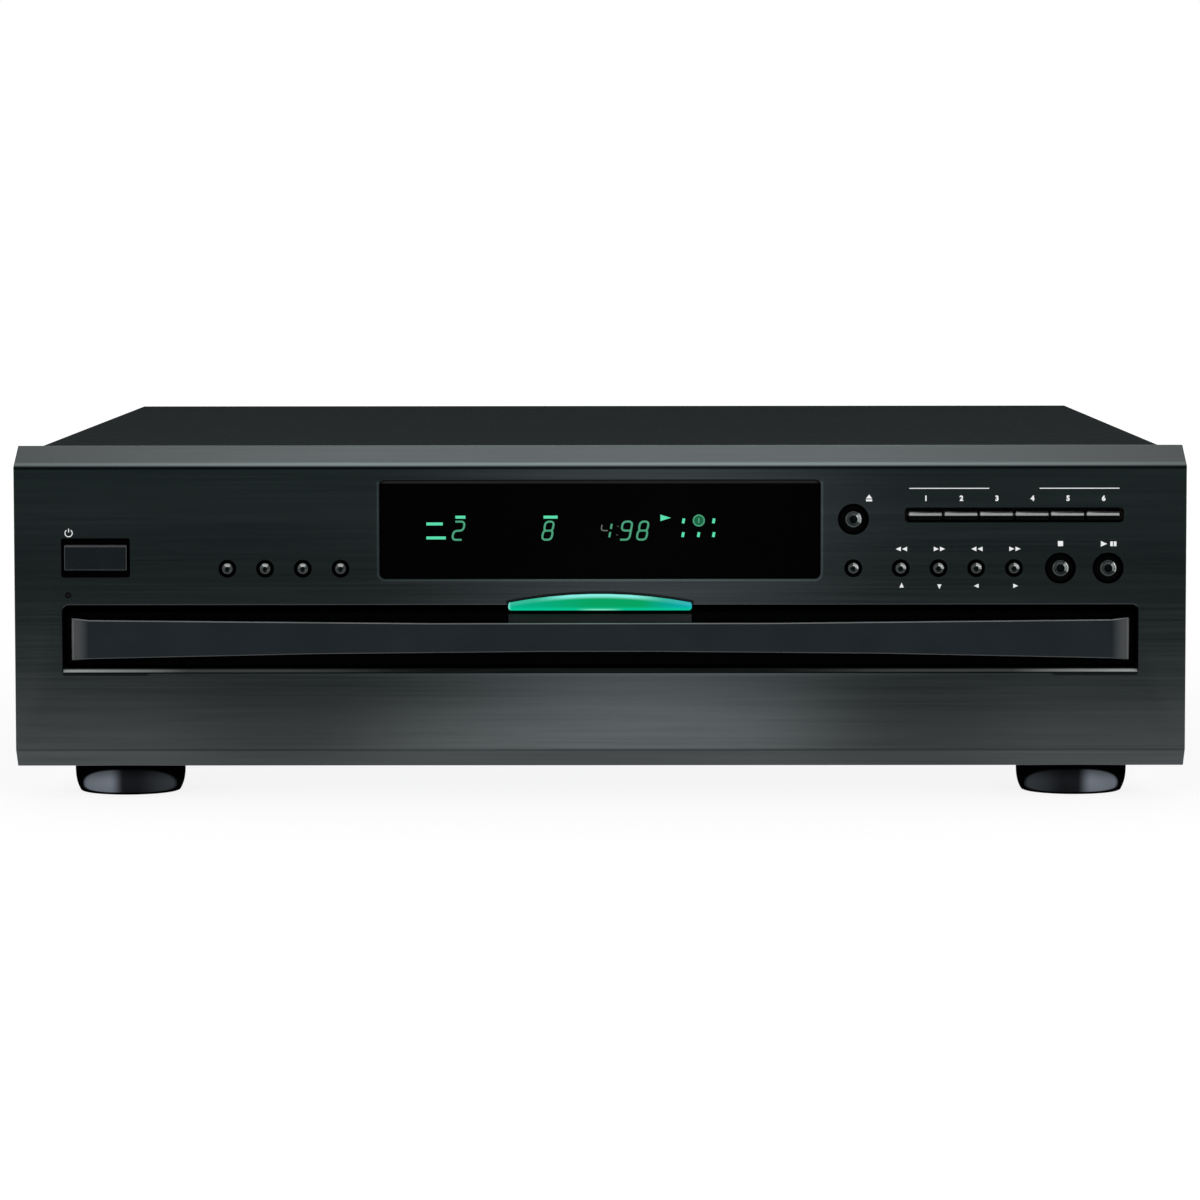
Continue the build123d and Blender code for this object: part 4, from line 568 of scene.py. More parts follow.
alongX, alongZ = (0.02, 1, 1), (1, 1, 0.05)
plastics = {
    # colour, roughness, then grain depth, grain scale, specular level and variation in tone
    # near-black with little sheen: painted shade inside the panel's openings
    "panelInside": ((0.0006, 0.0006, 0.0007), 0.5, 0, 900, 0.02),
    "panelBack": ((0.0150, 0.0155, 0.0160), 0.45, 0.00001, 1500, 0.3),
    "coverPaint": ((0.0109, 0.0142, 0.0153), 0.5, 0.00002, 1800, 0.03, 0.05),
    # paler copies on the trim's bevels: painted highlights
    "trimEdge": ((0.13, 0.135, 0.14), 0.3, 0, 900, 0.3),
    "trimUnder": ((0.055, 0.060, 0.062), 0.3, 0, 900, 0.2),
    # partly the door's own black, kept without sheen as painted shade in the slot
    "doorBlack": ((0.0005, 0.0005, 0.0006), 0.4, 0, 900, 0.01),
    "doorGrey": ((0.008, 0.009, 0.0095), 0.35, 0, 900, 0.2),
    "powerCap": ((0.0060, 0.0082, 0.0100), 0.26, 0.000005, 2400, 0.2),
    # paler copy on the power cap's bevels: painted highlight
    "capEdge": ((0.038, 0.041, 0.043), 0.3, 0, 900, 0.3),
    # partly its own black, partly painted shade in the recess round a cap
    "ringBlack": ((0.0006, 0.0006, 0.0007), 0.4, 0, 900, 0.02),
    "silkPrint": ((0.76, 0.77, 0.77), 0.5, 0, 900, 0.3, 0.1),
    "blackSheet": ((0.018, 0.0185, 0.019), 0.5, 0.000015, 1500, 0.3),
    "trayPlastic": ((0.017, 0.018, 0.0195), 0.42, 0.00003, 1300),
    "carouselPlastic": ((0.020, 0.021, 0.023), 0.36, 0.00003, 1500),
    "framePlastic": ((0.055, 0.056, 0.058), 0.5, 0.00003, 1000),
    "acetalWhite": ((0.72, 0.70, 0.65), 0.38, 0.000008, 700, 0.5, 0.06),
    "acetalDark": ((0.06, 0.06, 0.065), 0.38, 0.000008, 700),
    "beltRubber": ((0.012, 0.012, 0.012), 0.7, 0.00002, 2500, 0.3),
    "platterPlastic": ((0.11, 0.11, 0.115), 0.42, 0.00001, 1200),
    "socketBlack": ((0.014, 0.014, 0.015), 0.42, 0.00001, 1200),
    "socketWhite": ((0.70, 0.70, 0.67), 0.4),
    "socketRed": ((0.45, 0.015, 0.012), 0.4),
    "socketOrange": ((0.60, 0.17, 0.01), 0.4),
    "chipBlack": ((0.012, 0.012, 0.013), 0.5, 0.00001, 2500),
    "capacitorBlue": ((0.02, 0.035, 0.12), 0.3),
    "coilTape": ((0.50, 0.33, 0.03), 0.35, 0.00002, 400),
    "tubeGlass": ((0.012, 0.016, 0.016), 0.06),
    "lensGlass": ((0.06, 0.05, 0.22), 0.03, 0, 900, 0.9),
}
metals = {
    # colour, roughness, then stretch, scale and depth of the grain and variation in tone
    # copies of the panel metal on its edges: paler on the ridge and the slot's top edge as painted
    # highlights, darker on the front ridge and round the window as painted shade
    "ridgeMetal": ((0.34, 0.36, 0.36), 0.3, alongX, 1500),
    "ridgeShade": ((0.030, 0.033, 0.033), 0.3, alongX, 1500),
    "windowRim": ((0.035, 0.037, 0.038), 0.35, alongX, 1500),
    "slotRim": ((0.10, 0.105, 0.105), 0.35, alongX, 1500),
    # cap finishes: capBright a painted highlight, capSide a painted paler side on large caps, capDish
    # darker for the painted dark reflection in the dish
    "capBright": ((0.56, 0.57, 0.57), 0.3, (1, 1, 1), 1500),
    "capRim": ((0.090, 0.096, 0.096), 0.25, (1, 1, 1), 1500, 0.000004, 0.4),
    "capSide": ((0.10, 0.11, 0.11), 0.3, (1, 1, 1), 1500, 0.000004, 0.5),
    "capDish": ((0.012, 0.014, 0.015), 0.3, (1, 1, 1), 1500, 0.000004, 0.5),
    # painted highlight on the keys' top bevels
    "keyMetal": ((0.50, 0.51, 0.51), 0.3, alongX, 1500),
    "motorCan": ((0.60, 0.61, 0.62), 0.3, alongZ, 900),
    "steelRod": ((0.72, 0.72, 0.73), 0.16, (1, 0.03, 1), 1200),
    "nickelShell": ((0.70, 0.69, 0.66), 0.2, (1, 1, 1), 900),
    "blackScrew": ((0.07, 0.072, 0.075), 0.34, (1, 1, 1), 1600),
    "sinkAluminium": ((0.70, 0.71, 0.72), 0.3, alongZ, 900),
    "ironCore": ((0.22, 0.21, 0.20), 0.45, (1, 1, 40), 60, 0.00005, 0.4),
}
glows = {
    "segments": ((0.080, 0.62, 0.345), 0.82),
    "thinSegments": ((0.052, 0.295, 0.16), 0.8),
    "dimSegments": ((0.12, 0.14, 0.12), 0.8),
    "ringFill": ((0.0, 0.10, 0.035), 0.8),
    "standbyLamp": ((0.008, 0.001, 0.001), 0.2),
    "barLamp": ((0.02, 0.5, 0.3), 0.8),
}
finishes = {material.name: material for material in (
    brushedPanel("brushedPanel", (1.0, 1.0, 1.0), panelShading),
    brushedPanel("brushedChamfer", chamferShades["tone"], chamferShading),
    zincPlate(), litBar(), slotLip(), windowPane(), trimFace(), keyFace(), footBlack(),
    circuitBoard("boardGreen", (0.012, 0.09, 0.035), (0.04, 0.19, 0.08)),
    circuitBoard("boardTan", (0.24, 0.16, 0.08), (0.33, 0.23, 0.12)))}
for make, rows in ((plastic, plastics), (metal, metals), (glow, glows)):
    for name, row in rows.items():
        finishes[name] = make(name, *row)
print("finishes made", len(finishes))


# Mesh helpers
def weldedShape(node):
    # the frame's meshes are loose triangles, so a copy is welded
    shape = bmesh.new()
    shape.from_mesh(frame["nodes"][node].data)
    bmesh.ops.remove_doubles(shape, verts=shape.verts, dist=1e-6)
    return shape


def linkPiece(name, mesh):
    piece = bpy.data.objects.new(name, mesh)
    bpy.context.scene.collection.objects.link(piece)
    return piece


def evaluatedMesh(piece):
    bpy.context.view_layer.update()
    graph = bpy.context.evaluated_depsgraph_get()
    return bpy.data.meshes.new_from_object(piece.evaluated_get(graph))


def applyModifiers(piece):
    made = evaluatedMesh(piece)
    made.name = piece.name
    piece.modifiers.clear()
    piece.data = made


def curveMesh(name, curve):
    carrier = linkPiece(name, curve)
    mesh = evaluatedMesh(carrier)
    bpy.data.objects.remove(carrier)
    return mesh


def addBevel(piece, width, segments=2, clamp=True):
    bevel = piece.modifiers.new("edges", "BEVEL")
    bevel.width = width
    bevel.segments = segments
    bevel.limit_method = "ANGLE"
    bevel.angle_limit = math.radians(32)
    bevel.miter_outer = "MITER_ARC"
    bevel.use_clamp_overlap = clamp
    bevel.harden_normals = True
    applyModifiers(piece)


def smoothByAngle(mesh):
    mesh.shade_smooth()
    mesh.set_sharp_from_angle(angle=math.radians(32))


def camelName(node):
    first, *rest = node.split("_")
    return first + "".join(word.title() for word in rest)


def declare(piece, body, node=None):
    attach(piece, body)
    if node:
        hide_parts(node)


def dress(node, names, width=0.3 * mm, segments=2, choose=None, clamp=True):
    # names lists the piece's finishes, and choose gives a face's index among them
    shape = weldedShape(node)
    bmesh.ops.dissolve_limit(shape, angle_limit=math.radians(0.4), verts=shape.verts,
                             edges=shape.edges)
    mesh = bpy.data.meshes.new(camelName(node))
    shape.to_mesh(mesh)
    shape.free()
    piece = linkPiece(camelName(node), mesh)
    smoothByAngle(mesh)
    addBevel(piece, width, segments, clamp)
    piece.data.materials.clear()
    for name in names:
        piece.data.materials.append(finishes[name])
    for face in piece.data.polygons:
        face.material_index = choose(face) if choose else 0
    declare(piece, frame["nodes"][node]["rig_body"], node)


def looseParts(node):
    # corners of each separate piece in a node
    shape = weldedShape(node)
    seen, parts = set(), []
    for first in shape.verts:
        if first in seen:
            continue
        seen.add(first)
        waiting, group = [first], []
        while waiting:
            corner = waiting.pop()
            group.append(corner.co.copy())
            near = [edge.other_vert(corner) for edge in corner.link_edges]
            fresh = [other for other in near if other not in seen]
            seen.update(fresh)
            waiting += fresh
        parts.append(group)
    shape.free()
    return parts


def boxOf(points):
    return [Vector([pick(point[axis] for point in points) for axis in range(3)]) for pick in (min, max)]


# Geometry Nodes helpers
def newTree(name, sizes):
    # gives the tree and its inputs: the points and one for each size
    tree = bpy.data.node_groups.new(name, "GeometryNodeTree")
    tree.interface.new_socket("Points", in_out="INPUT", socket_type="NodeSocketGeometry")
    for label, value in sizes.items():
        kind = "NodeSocketInt" if isinstance(value, int) else "NodeSocketFloat"
        socket = tree.interface.new_socket(label, in_out="INPUT", socket_type=kind)
        socket.default_value = value
    tree.interface.new_socket("Mesh", in_out="OUTPUT", socket_type="NodeSocketGeometry")
    outputs = tree.nodes.new("NodeGroupInput").outputs
    return tree, {label: Value(outputs[label]) for label in ("Points", *sizes)}


def vectorOf(tree, x=0.0, y=0.0, z=0.0):
    return addNode(tree, "ShaderNodeCombineXYZ", "Vector", {"X": x, "Y": y, "Z": z})


def position(tree):
    return addNode(tree, "GeometryNodeInputPosition", "Position")


def namedVector(tree, label):
    return addNode(tree, "GeometryNodeInputNamedAttribute", "Attribute", {"Name": label},
                   data_type="FLOAT_VECTOR")


def transform(tree, shape, **places):
    return addNode(tree, "GeometryNodeTransform", "Geometry", {
        "Geometry": shape, **{label.title(): place for label, place in places.items()}})


def setOut(tree, start, shape, finish, inputs=None):
    # puts the shape on every point, made real and painted
    placed = addNode(tree, "GeometryNodeInstanceOnPoints", "Instances",
                     {"Points": start["Points"], "Instance": shape, **(inputs or {})})
    real = addNode(tree, "GeometryNodeRealizeInstances", "Geometry", {"Geometry": placed})
    painted = addNode(tree, "GeometryNodeSetMaterial", "Geometry",
                      {"Geometry": real, "Material": finishes[finish]})
    feed(tree.nodes.new("NodeGroupOutput").inputs["Mesh"], painted)


def growPiece(name, tree, points, values, attributes=None):
    mesh = bpy.data.meshes.new(name)
    mesh.from_pydata(points, [], [])
    for label, vectors in (attributes or {}).items():
        layer = mesh.attributes.new(label, "FLOAT_VECTOR", "POINT")
        for item, vector in zip(layer.data, vectors):
            item.vector = vector
    piece = linkPiece(name, mesh)
    modifier = piece.modifiers.new(name, "NODES")
    modifier.node_group = tree
    for item in tree.interface.items_tree:
        if item.item_type == "SOCKET" and item.in_out == "INPUT" and item.name in values:
            modifier[item.identifier] = values[item.name]
    applyModifiers(piece)
    shape = bmesh.new()
    shape.from_mesh(piece.data)
    bmesh.ops.remove_doubles(shape, verts=shape.verts, dist=1e-6)
    bmesh.ops.recalc_face_normals(shape, faces=shape.faces)
    shape.to_mesh(piece.data)
    shape.free()
    smoothByAngle(piece.data)
    return piece


# Case
# the panel's edges take paler and darker copies of its metal as painted highlights and shade, and its
# openings near-black painted shade
panelFinishes = ["brushedPanel", "brushedChamfer", "ridgeMetal", "windowRim", "slotRim", "slotLip",
                 "panelInside", "ridgeShade", "panelBack"]
flat, chamfer, ridge, rim, slotEdge, lip, inside, ridgeFront, back = range(len(panelFinishes))
panelRegions = {
    "bevel": 0.25 * mm,
    "upper": windowHigh.z + 2 * mm,  # the ridge and the chamfer lie above
    "side": panelHigh.x - 0.4 * mm,
    "ridge": panelHigh.z - 0.45 * mm,
    "ridgeFront": ridgeZ + 0.15 * mm,
    "rimWidth": 1.2 * mm,
    "rimDepth": faceY + 1.0 * mm,
    "outer": panelHigh.x - 2.8 * mm,
    "lower": 19 * mm,
    "lip": (slotLow + 0.8 * mm, 2.5 * mm),  # middle and reach
    "slotEdge": 1.0 * mm,
    "slotStart": lightHigh.x + 1.5 * mm,
    "edgeDepth": faceY + 0.28 * mm,
    "depth": faceY + 0.3 * mm,
}


def panelFace(face):
    (x, y, z), (_, ny, nz) = face.center, face.normal
    x = abs(x)
    region = panelRegions
    if ny > 0.6:
        return back
    if z > region["upper"]:
        if ny > 0.1 or x > region["side"]:
            return flat
        if z > region["ridge"]:
            return ridge
        if nz > 0.03 and z < region["ridgeFront"]:
            return ridgeFront
        return chamfer if nz > 0.15 else flat
    nearWindow = x < windowHigh.x + region["rimWidth"] and z > windowLow.z - region["rimWidth"]
    if nearWindow and y < region["rimDepth"] and ny > -0.98:
        return rim
    if x > region["outer"] or z < region["lower"]:
        return flat
    lipMiddle, lipReach = region["lip"]
    if nz > 0.4 and ny < -0.4 and abs(z - lipMiddle) < lipReach:
        return lip
    # faces inside the openings: near-black painted shade, with a painted highlight on the slot's top edge
    if y < region["edgeDepth"] and ny > -0.985:
        onSlotTop = abs(z - slotTop) < region["slotEdge"] and x > region["slotStart"] and nz < -0.1
        return slotEdge if onSlotTop else inside
    return inside if y > region["depth"] else flat


def trimRegion(face):
    # painted highlights: the bevels along the top and bottom edges are paler
    if abs(face.normal.z) < 0.25 or face.normal.y > -0.25:
        return 0
    return 1 if face.normal.z > 0 else 2


dress("front_panel", panelFinishes, panelRegions["bevel"], 2, panelFace, False)
dress("top_cover", ["coverPaint"], clamp=False)
dress("display_window", ["windowPane"], segments=3, clamp=False)
dress("light_bar", ["litBar"], segments=3, clamp=False)
dress("door_trim", ["trimFace", "trimEdge", "trimUnder"], 0.4 * mm, 2, trimRegion, False)
# the door's front is near-black, partly painted shade in the slot
dress("tray_door", ["doorBlack", "trayPlastic"], 0.5 * mm, 2,
      lambda face: 1 if face.normal.y > 0.6 else 0)

# raised step on the door, under the light bar
doorStep = {
    "half": lightHigh.x,
    "proud": 0.6 * mm,
    "bottom": (trimLow.z + trimHigh.z) / 2,
    "top": lightLow.z - 1.7 * mm,
    "bevel": 0.2 * mm,
}


def addDoorStep():
    shape = bmesh.new()
    bmesh.ops.create_cube(shape, size=1.0)
    high = (doorStep["half"], doorLow.y + doorStep["proud"], doorStep["top"])
    low = (-doorStep["half"], doorLow.y - doorStep["proud"], doorStep["bottom"])
    for corner in shape.verts:
        corner.co = [far if place > 0 else near for place, near, far in zip(corner.co, low, high)]
    mesh = bpy.data.meshes.new("doorStep")
    shape.to_mesh(mesh)
    shape.free()
    piece = linkPiece("doorStep", mesh)
    addBevel(piece, doorStep["bevel"])
    piece.data.materials.append(finishes["doorGrey"])
    smoothByAngle(piece.data)
    declare(piece, "tray_unit")


addDoorStep()
print("case dressed")

# Buttons: the ring round a cap is black, partly painted shade in its recess, and the cap bright with a
# painted highlight
caps = {
    "front": faceY + 0.55 * mm,
    "powerFront": faceY + 0.5 * mm,
    "keyFront": faceY + 1.2 * mm,
    "largeFrom": 10 * mm,
    "rim": (0.95 * mm, 1.5 * mm),  # of a small and a large cap
    # the painted highlight sits between these angles
    "bright": {"large": (-28, 52), "left": (45, 125), "right": (-5, 95)},  # degrees
    # a large cap's painted paler side ends here
    "pale": 135,  # end of a large cap's paler side
}
keyNodes = [f"disc_{number}_button" for number in range(1, 7)]


def powerRegion(face):
    # faces behind the panel near-black as painted shade, bevels with the painted highlight
    if face.center.y > caps["powerFront"]:
        return 0
    return 2 if face.normal.y > -0.97 else 1


def keyRegion(face):
    # the top bevel takes the painted highlight
    return 1 if face.normal.z > 0.35 and face.center.y < caps["keyFront"] else 0


def capRegions(low, high):
    # rim and dish of a round cap, with a painted highlight brightest at its upper right
    middle = (low + high) / 2
    large = high.x - low.x > caps["largeFrom"]
    start, end = caps["bright"]["large" if large else "left" if middle.x < 0 else "right"]

    def choose(face):
        if face.center.y > caps["front"]:
            return 0
        across, up = face.center.x - middle.x, face.center.z - middle.z
        turn = math.degrees(math.atan2(up, across))
        if math.hypot(across, up) < caps["rim"][large]:
            return 2
        if start < turn < end:
            return 3
        return 4 if large and not end < turn < caps["pale"] else 1
    return choose


for node in sorted(node for node in frame["nodes"] if node.endswith("_button")):
    if node in keyNodes:
        dress(node, ["keyFace", "keyMetal"], 0.15 * mm, 2, keyRegion)
    elif node == "power_button":
        dress(node, ["ringBlack", "powerCap", "capEdge"], 0.3 * mm, 2, powerRegion, False)
    else:
        dress(node, ["ringBlack", "capRim", "capDish", "capBright", "capSide"], 0.12 * mm, 2,
              capRegions(*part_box(node)))
print("buttons dressed")

# Feet, turned from one profile
feet = {
    "topRadius": 20.75 * mm,
    "bottomRadius": 18.6 * mm,
    "rim": 11.5 * mm,
    "bossRadius": 13.9 * mm,
    "height": 12.0 * mm,
    "sinkRadius": 4.4 * mm,
    "sink": 7.0 * mm,
    "bore": 1.55 * mm,
    "fillet": (0.5 * mm, 0.15 * mm),  # of the top edge, and its middle point
    "lowEdge": 0.4 * mm,
    "power": 3.5,  # of the flare
    "rings": 16,
    "crowding": 1.4,  # of the rings towards the floor
    "steps": 72,
}


def footProfile():
    top, bottom, height = feet["topRadius"], feet["bottomRadius"], feet["rim"]
    fillet, part = feet["fillet"]
    points = [(feet["bore"], feet["height"]), (feet["bossRadius"], feet["height"]),
              (feet["bossRadius"], height), (top - fillet, height),
              (top - part, height - part), (top, height - fillet)]
    for index in range(1, feet["rings"]):
        up = (height - fillet) * (1 - index / feet["rings"]) ** feet["crowding"]
        flare = 1 - (1 - up / height) ** feet["power"]
        points.append((bottom + (top - bottom) * flare, up))
    points += [(bottom - feet["lowEdge"], 0.0), (feet["sinkRadius"], 0.0),
               (feet["sinkRadius"], feet["sink"]), (feet["bore"], feet["sink"])]
    return points


def latheTree(name, profile, finish):
    # turns the profile round Z and sets the result on every point
    tree, start = newTree(name, {"Steps": 64})
    outline = bpy.data.meshes.new(name + "Profile")
    outline.from_pydata([(radius, 0, height) for radius, height in profile + profile[:1]], [], [])
    carrier = bpy.data.objects.new(name + "Profile", outline)
    source = addNode(tree, "GeometryNodeObjectInfo", "Geometry", {"Object": carrier})
    count = len(profile) + 1
    grid = addNode(tree, "GeometryNodeMeshGrid", "Mesh", {
        "Size X": 1.0, "Size Y": 1.0, "Vertices X": start["Steps"], "Vertices Y": count})
    x, y, _ = splitVector(position(tree))
    along = (y + 0.5) * (count - 1)
    at = addNode(tree, "GeometryNodeSampleIndex", "Value", {
        "Geometry": source, "Index": along.maths("ROUND"), "Value": position(tree)},
        data_type="FLOAT_VECTOR", domain="POINT")
    radius, _, height = splitVector(at)
    turn = (x + 0.5) * math.tau
    turned = vectorOf(tree, turn.maths("COSINE") * radius, turn.maths("SINE") * radius, height)
    lathe = addNode(tree, "GeometryNodeSetPosition", "Geometry", {"Geometry": grid, "Position": turned})
    closed = addNode(tree, "GeometryNodeMergeByDistance", "Geometry",
                     {"Geometry": lathe, "Distance": 1e-6})
    setOut(tree, start, closed, finish)
    return tree, carrier


footSpots = []
for part in looseParts("feet"):
    low, high = boxOf(part)
    footSpots.append(((low.x + high.x) / 2, (low.y + high.y) / 2, 0.0))
footTree, footCarrier = latheTree("feet", footProfile(), "footBlack")
footPiece = growPiece("roundFeet", footTree, footSpots, {"Steps": feet["steps"]})
bpy.data.objects.remove(footCarrier)
declare(footPiece, "case", "feet")

# Screws, with a domed head and a cross recess
screwSizes = {
    "Head Radius": 3.0 * mm,
    "Head Height": 1.7 * mm,
    "Head Dome": 0.16,
    "Shank Radius": 1.45 * mm,
    "Shank Length": 7.0 * mm,
    "Cross Reach": 3.6 * mm,
    "Cross Width": 0.7 * mm,
    "Cross Depth": 0.9 * mm,
    "Sides": 40,
}


def screwTree():
    tree, start = newTree("screws", screwSizes)
    height, length = start["Head Height"], start["Shank Length"]
    head = addNode(tree, "GeometryNodeMeshCylinder", "Mesh", {
        "Vertices": start["Sides"], "Side Segments": 6, "Radius": start["Head Radius"], "Depth": height})
    x, y, z = splitVector(position(tree))
    width = 1.0 - (z / height + 0.5) ** 5.0 * start["Head Dome"]
    domed = vectorOf(tree, x * width, y * width, z + height * 0.5)
    head = addNode(tree, "GeometryNodeSetPosition", "Geometry", {"Geometry": head, "Position": domed})
    deep = start["Cross Depth"] * 2.0
    arms = []
    for across, along in (("Cross Reach", "Cross Width"), ("Cross Width", "Cross Reach")):
        arm = addNode(tree, "GeometryNodeMeshCube", "Mesh",
                      {"Size": vectorOf(tree, start[across], start[along], deep)})
        arms.append(transform(tree, arm, translation=vectorOf(tree, z=height)))
    cross = addNode(tree, "GeometryNodeMeshBoolean", "Mesh", {"Mesh 2": arms}, operation="UNION",
                    solver="EXACT")
    head = addNode(tree, "GeometryNodeMeshBoolean", "Mesh", {"Mesh 1": head, "Mesh 2": cross},
                   operation="DIFFERENCE", solver="EXACT")
    shank = addNode(tree, "GeometryNodeMeshCylinder", "Mesh",
                    {"Vertices": 20, "Radius": start["Shank Radius"], "Depth": length})
    shank = transform(tree, shank, translation=vectorOf(tree, z=length * -0.5))
    whole = addNode(tree, "GeometryNodeJoinGeometry", "Geometry", {"Geometry": [head, shank]})
    turn = addNode(tree, "FunctionNodeAlignRotationToVector", "Rotation",
                   {"Vector": namedVector(tree, "facing")}, axis="Z")
    setOut(tree, start, whole, "blackScrew", {"Rotation": turn})
    return tree


def screwSpots():
    # a screw's long side gives its axis, its wide end the head
    spots, facings = [], []
    for part in looseParts("case_screws"):
        low, high = boxOf(part)
        axis = max(range(3), key=lambda side: (high - low)[side])
        middle = (low + high) / 2
        reach = {}
        for sign, end in ((-1, low[axis]), (1, high[axis])):
            near = [point for point in part if abs(point[axis] - end) < 0.1 * mm]
            reach[sign] = max((point - middle).length for point in near)
        sign = max(reach, key=reach.get)
        facing, seat = Vector(), middle.copy()
        facing[axis] = sign
        seat[axis] = (high[axis] if sign > 0 else low[axis]) - sign * screwSizes["Head Height"]
        spots.append(tuple(seat))
        facings.append(tuple(facing))
    return spots, facings


spots, facings = screwSpots()
screwPiece = growPiece("caseScrews", screwTree(), spots, screwSizes, {"facing": facings})
declare(screwPiece, "case", "case_screws")
print("feet and screws grown", len(footSpots), len(spots))


# Pieces whose regions differ in finish
def byPlace(*rules):
    # each rule gives a finish index and a reach in mm along some of X, Y and Z
    def choose(face):
        for index, reaches in rules:
            if all(low * mm <= face.center["XYZ".index(axis)] <= high * mm
                   for axis, (low, high) in reaches.items()):
                return index
        return 0
    return choose


sockets = {
    # mm behind the rear panel
    "body": 0.2,
    "shell": 2,
    "insert": 9,
    "split": 5,  # the two inserts' border above the middle of the piece
}


def socketFaces(splitZ=None):
    # shell and insert of a socket that stands behind the rear panel
    def choose(face):
        behind, normal = (face.center.y - rearY) / mm, face.normal
        if behind < sockets["body"]:
            return 0
        if abs(normal.y) > 0.5 and behind > sockets["insert"]:
            return 3 if splitZ and face.center.z < splitZ else 2
        return 1 if math.hypot(normal.x, normal.z) > 0.5 and behind > sockets["shell"] else 0
    return choose


boardTop = 22.7  # mm
boardThick = 1.7
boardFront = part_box("front_board")[1].y / mm - boardThick
jacksZ = sum(corner.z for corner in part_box("audio_jacks")) / 2 + sockets["split"] * mm
far = 1000
dressed = {
    # node: finishes, bevel width in mm and the finish of each face
    "main_board": (["boardGreen", "capacitorBlue", "sinkAluminium", "chipBlack", "socketWhite"], 0.2,
                   byPlace((0, {"Z": (0, boardTop)}),
                           (1, {"X": (-135, -70), "Y": (50, 62)}),
                           (2, {"X": (-193, -156), "Y": (63, 79)}),
                           (4, {"X": (-79, -69), "Y": (79, 125)}),
                           (3, {"Z": (boardTop, 60)}))),
    "power_transformer": (["ironCore", "coilTape", "zincPlate"], 0.4,
                          byPlace((2, {"Z": (0, 14.5)}),
                                  (1, {"X": (127, 167), "Y": (100, 121.5)}),
                                  (1, {"X": (127, 167), "Y": (158.5, 170)}))),
    "front_board": (["boardTan", "chipBlack", "tubeGlass", "standbyLamp", "barLamp"], 0.2,
                    byPlace((0, {"Y": (boardFront, far)}),
                            (2, {"X": (-73, 73), "Z": (85.9, 116)}),
                            (3, {"X": (-199, -196)}),
                            (4, {"X": (-4, 4), "Z": (74, 79)}),
                            (1, {"Y": (-far, boardFront)}))),
    "audio_jacks": (["socketBlack", "nickelShell", "socketWhite", "socketRed"], 0.2, socketFaces(jacksZ)),
    "digital_jacks": (["socketBlack", "nickelShell", "socketOrange"], 0.2, socketFaces()),
    "cord_gland": (["socketBlack"], 0.4, None),
    "rear_panel": (["blackSheet"], 0.2, None),
    "bottom_chassis": (["zincPlate"], 0.3, None),
    "tray": (["trayPlastic"], 0.5, None),
    "carousel": (["carouselPlastic"], 0.4, None),
    "clamp_puck": (["trayPlastic"], 0.3, None),
    "clamp_bridge": (["zincPlate"], 0.3, None),
    "disc_turntable": (["platterPlastic"], 0.2, None),
    "mechanism_frame": (["framePlastic"], 0.3, None),
    "pickup_base": (["framePlastic"], 0.3, None),
    "laser_sled": (["framePlastic"], 0.2, None),
    "tray_rails": (["framePlastic"], 0.3, None),
    "carousel_axle": (["framePlastic"], 0.2, None),
}
for node, (names, width, choose) in dressed.items():
    dress(node, names, width * mm, 2, choose)
print("inner pieces dressed", len(dressed))

# Plain nodes keep their meshes and take a finish
plainNodes = {
    "motorCan": ("carousel_motor", "loading_motor", "spindle_motor", "sled_motor", "lift_motor"),
    "acetalDark": ("carousel_pinion", "motor_pulley", "lift_gear"),
    "acetalWhite": ("carousel_idler_gear", "loading_gear", "sled_gear", "lift_cam"),
    "beltRubber": ("loading_belt",),
    "steelRod": ("guide_rods",),
    "lensGlass": ("pickup_lens",),
}
for finish, nodes in plainNodes.items():
    for node in nodes:
        for place in frame["nodes"][node].material_slots:
            place.material = finishes[finish]
print("plain nodes finished")

# Display: strokes behind the pane's face
display = {
    "thick": 0.04 * mm,
    "stroke": 0.73 * mm,
    "dimStroke": 0.4 * mm,
    "barStroke": 1.1 * mm,
    "markStroke": 1.0 * mm,
    "dotStroke": 0.85 * mm,
    "ringStroke": 0.5 * mm,
    "lean": 0.19,
    "digitWidth": 3.55 * mm,
    "digitHeight": 6.75 * mm,
    "digitLow": windowZ - 3.9 * mm,
    "figures": [("2", -54.9), ("8", -21.6), ("1", -0.25), ("9", 7.3), ("8", 13.55)],
    "bars": [(-64.4, -58.3, 2.0), (-64.4, -57.2, -3.2), (-53.6, -49.9, 4.5), (-20.9, -15.7, 4.5)],
    "marks": [(31.0, 3.0), (42.2, 3.0), (30.8, -2.1), (36.6, -2.1), (42.2, -2.1)],
    "markEnds": ((0.2, 0.95), (-0.15, -0.85)),
    "dots": [(6.7, 0.95), (6.3, -2.15)],
    "dotEnds": ((0, 0), (0.05, 0.1)),
    "dim": ("l", -0.25),
    "ring": (36.7 * mm, windowZ + 3.2 * mm),
    "ringRadius": 2.0 * mm,
    "ringBar": 0.9 * mm,
    "fillRadius": 1.75 * mm,
    "play": (24.4 * mm, windowZ + 4.2 * mm, 3.9 * mm, 2.4 * mm),
}
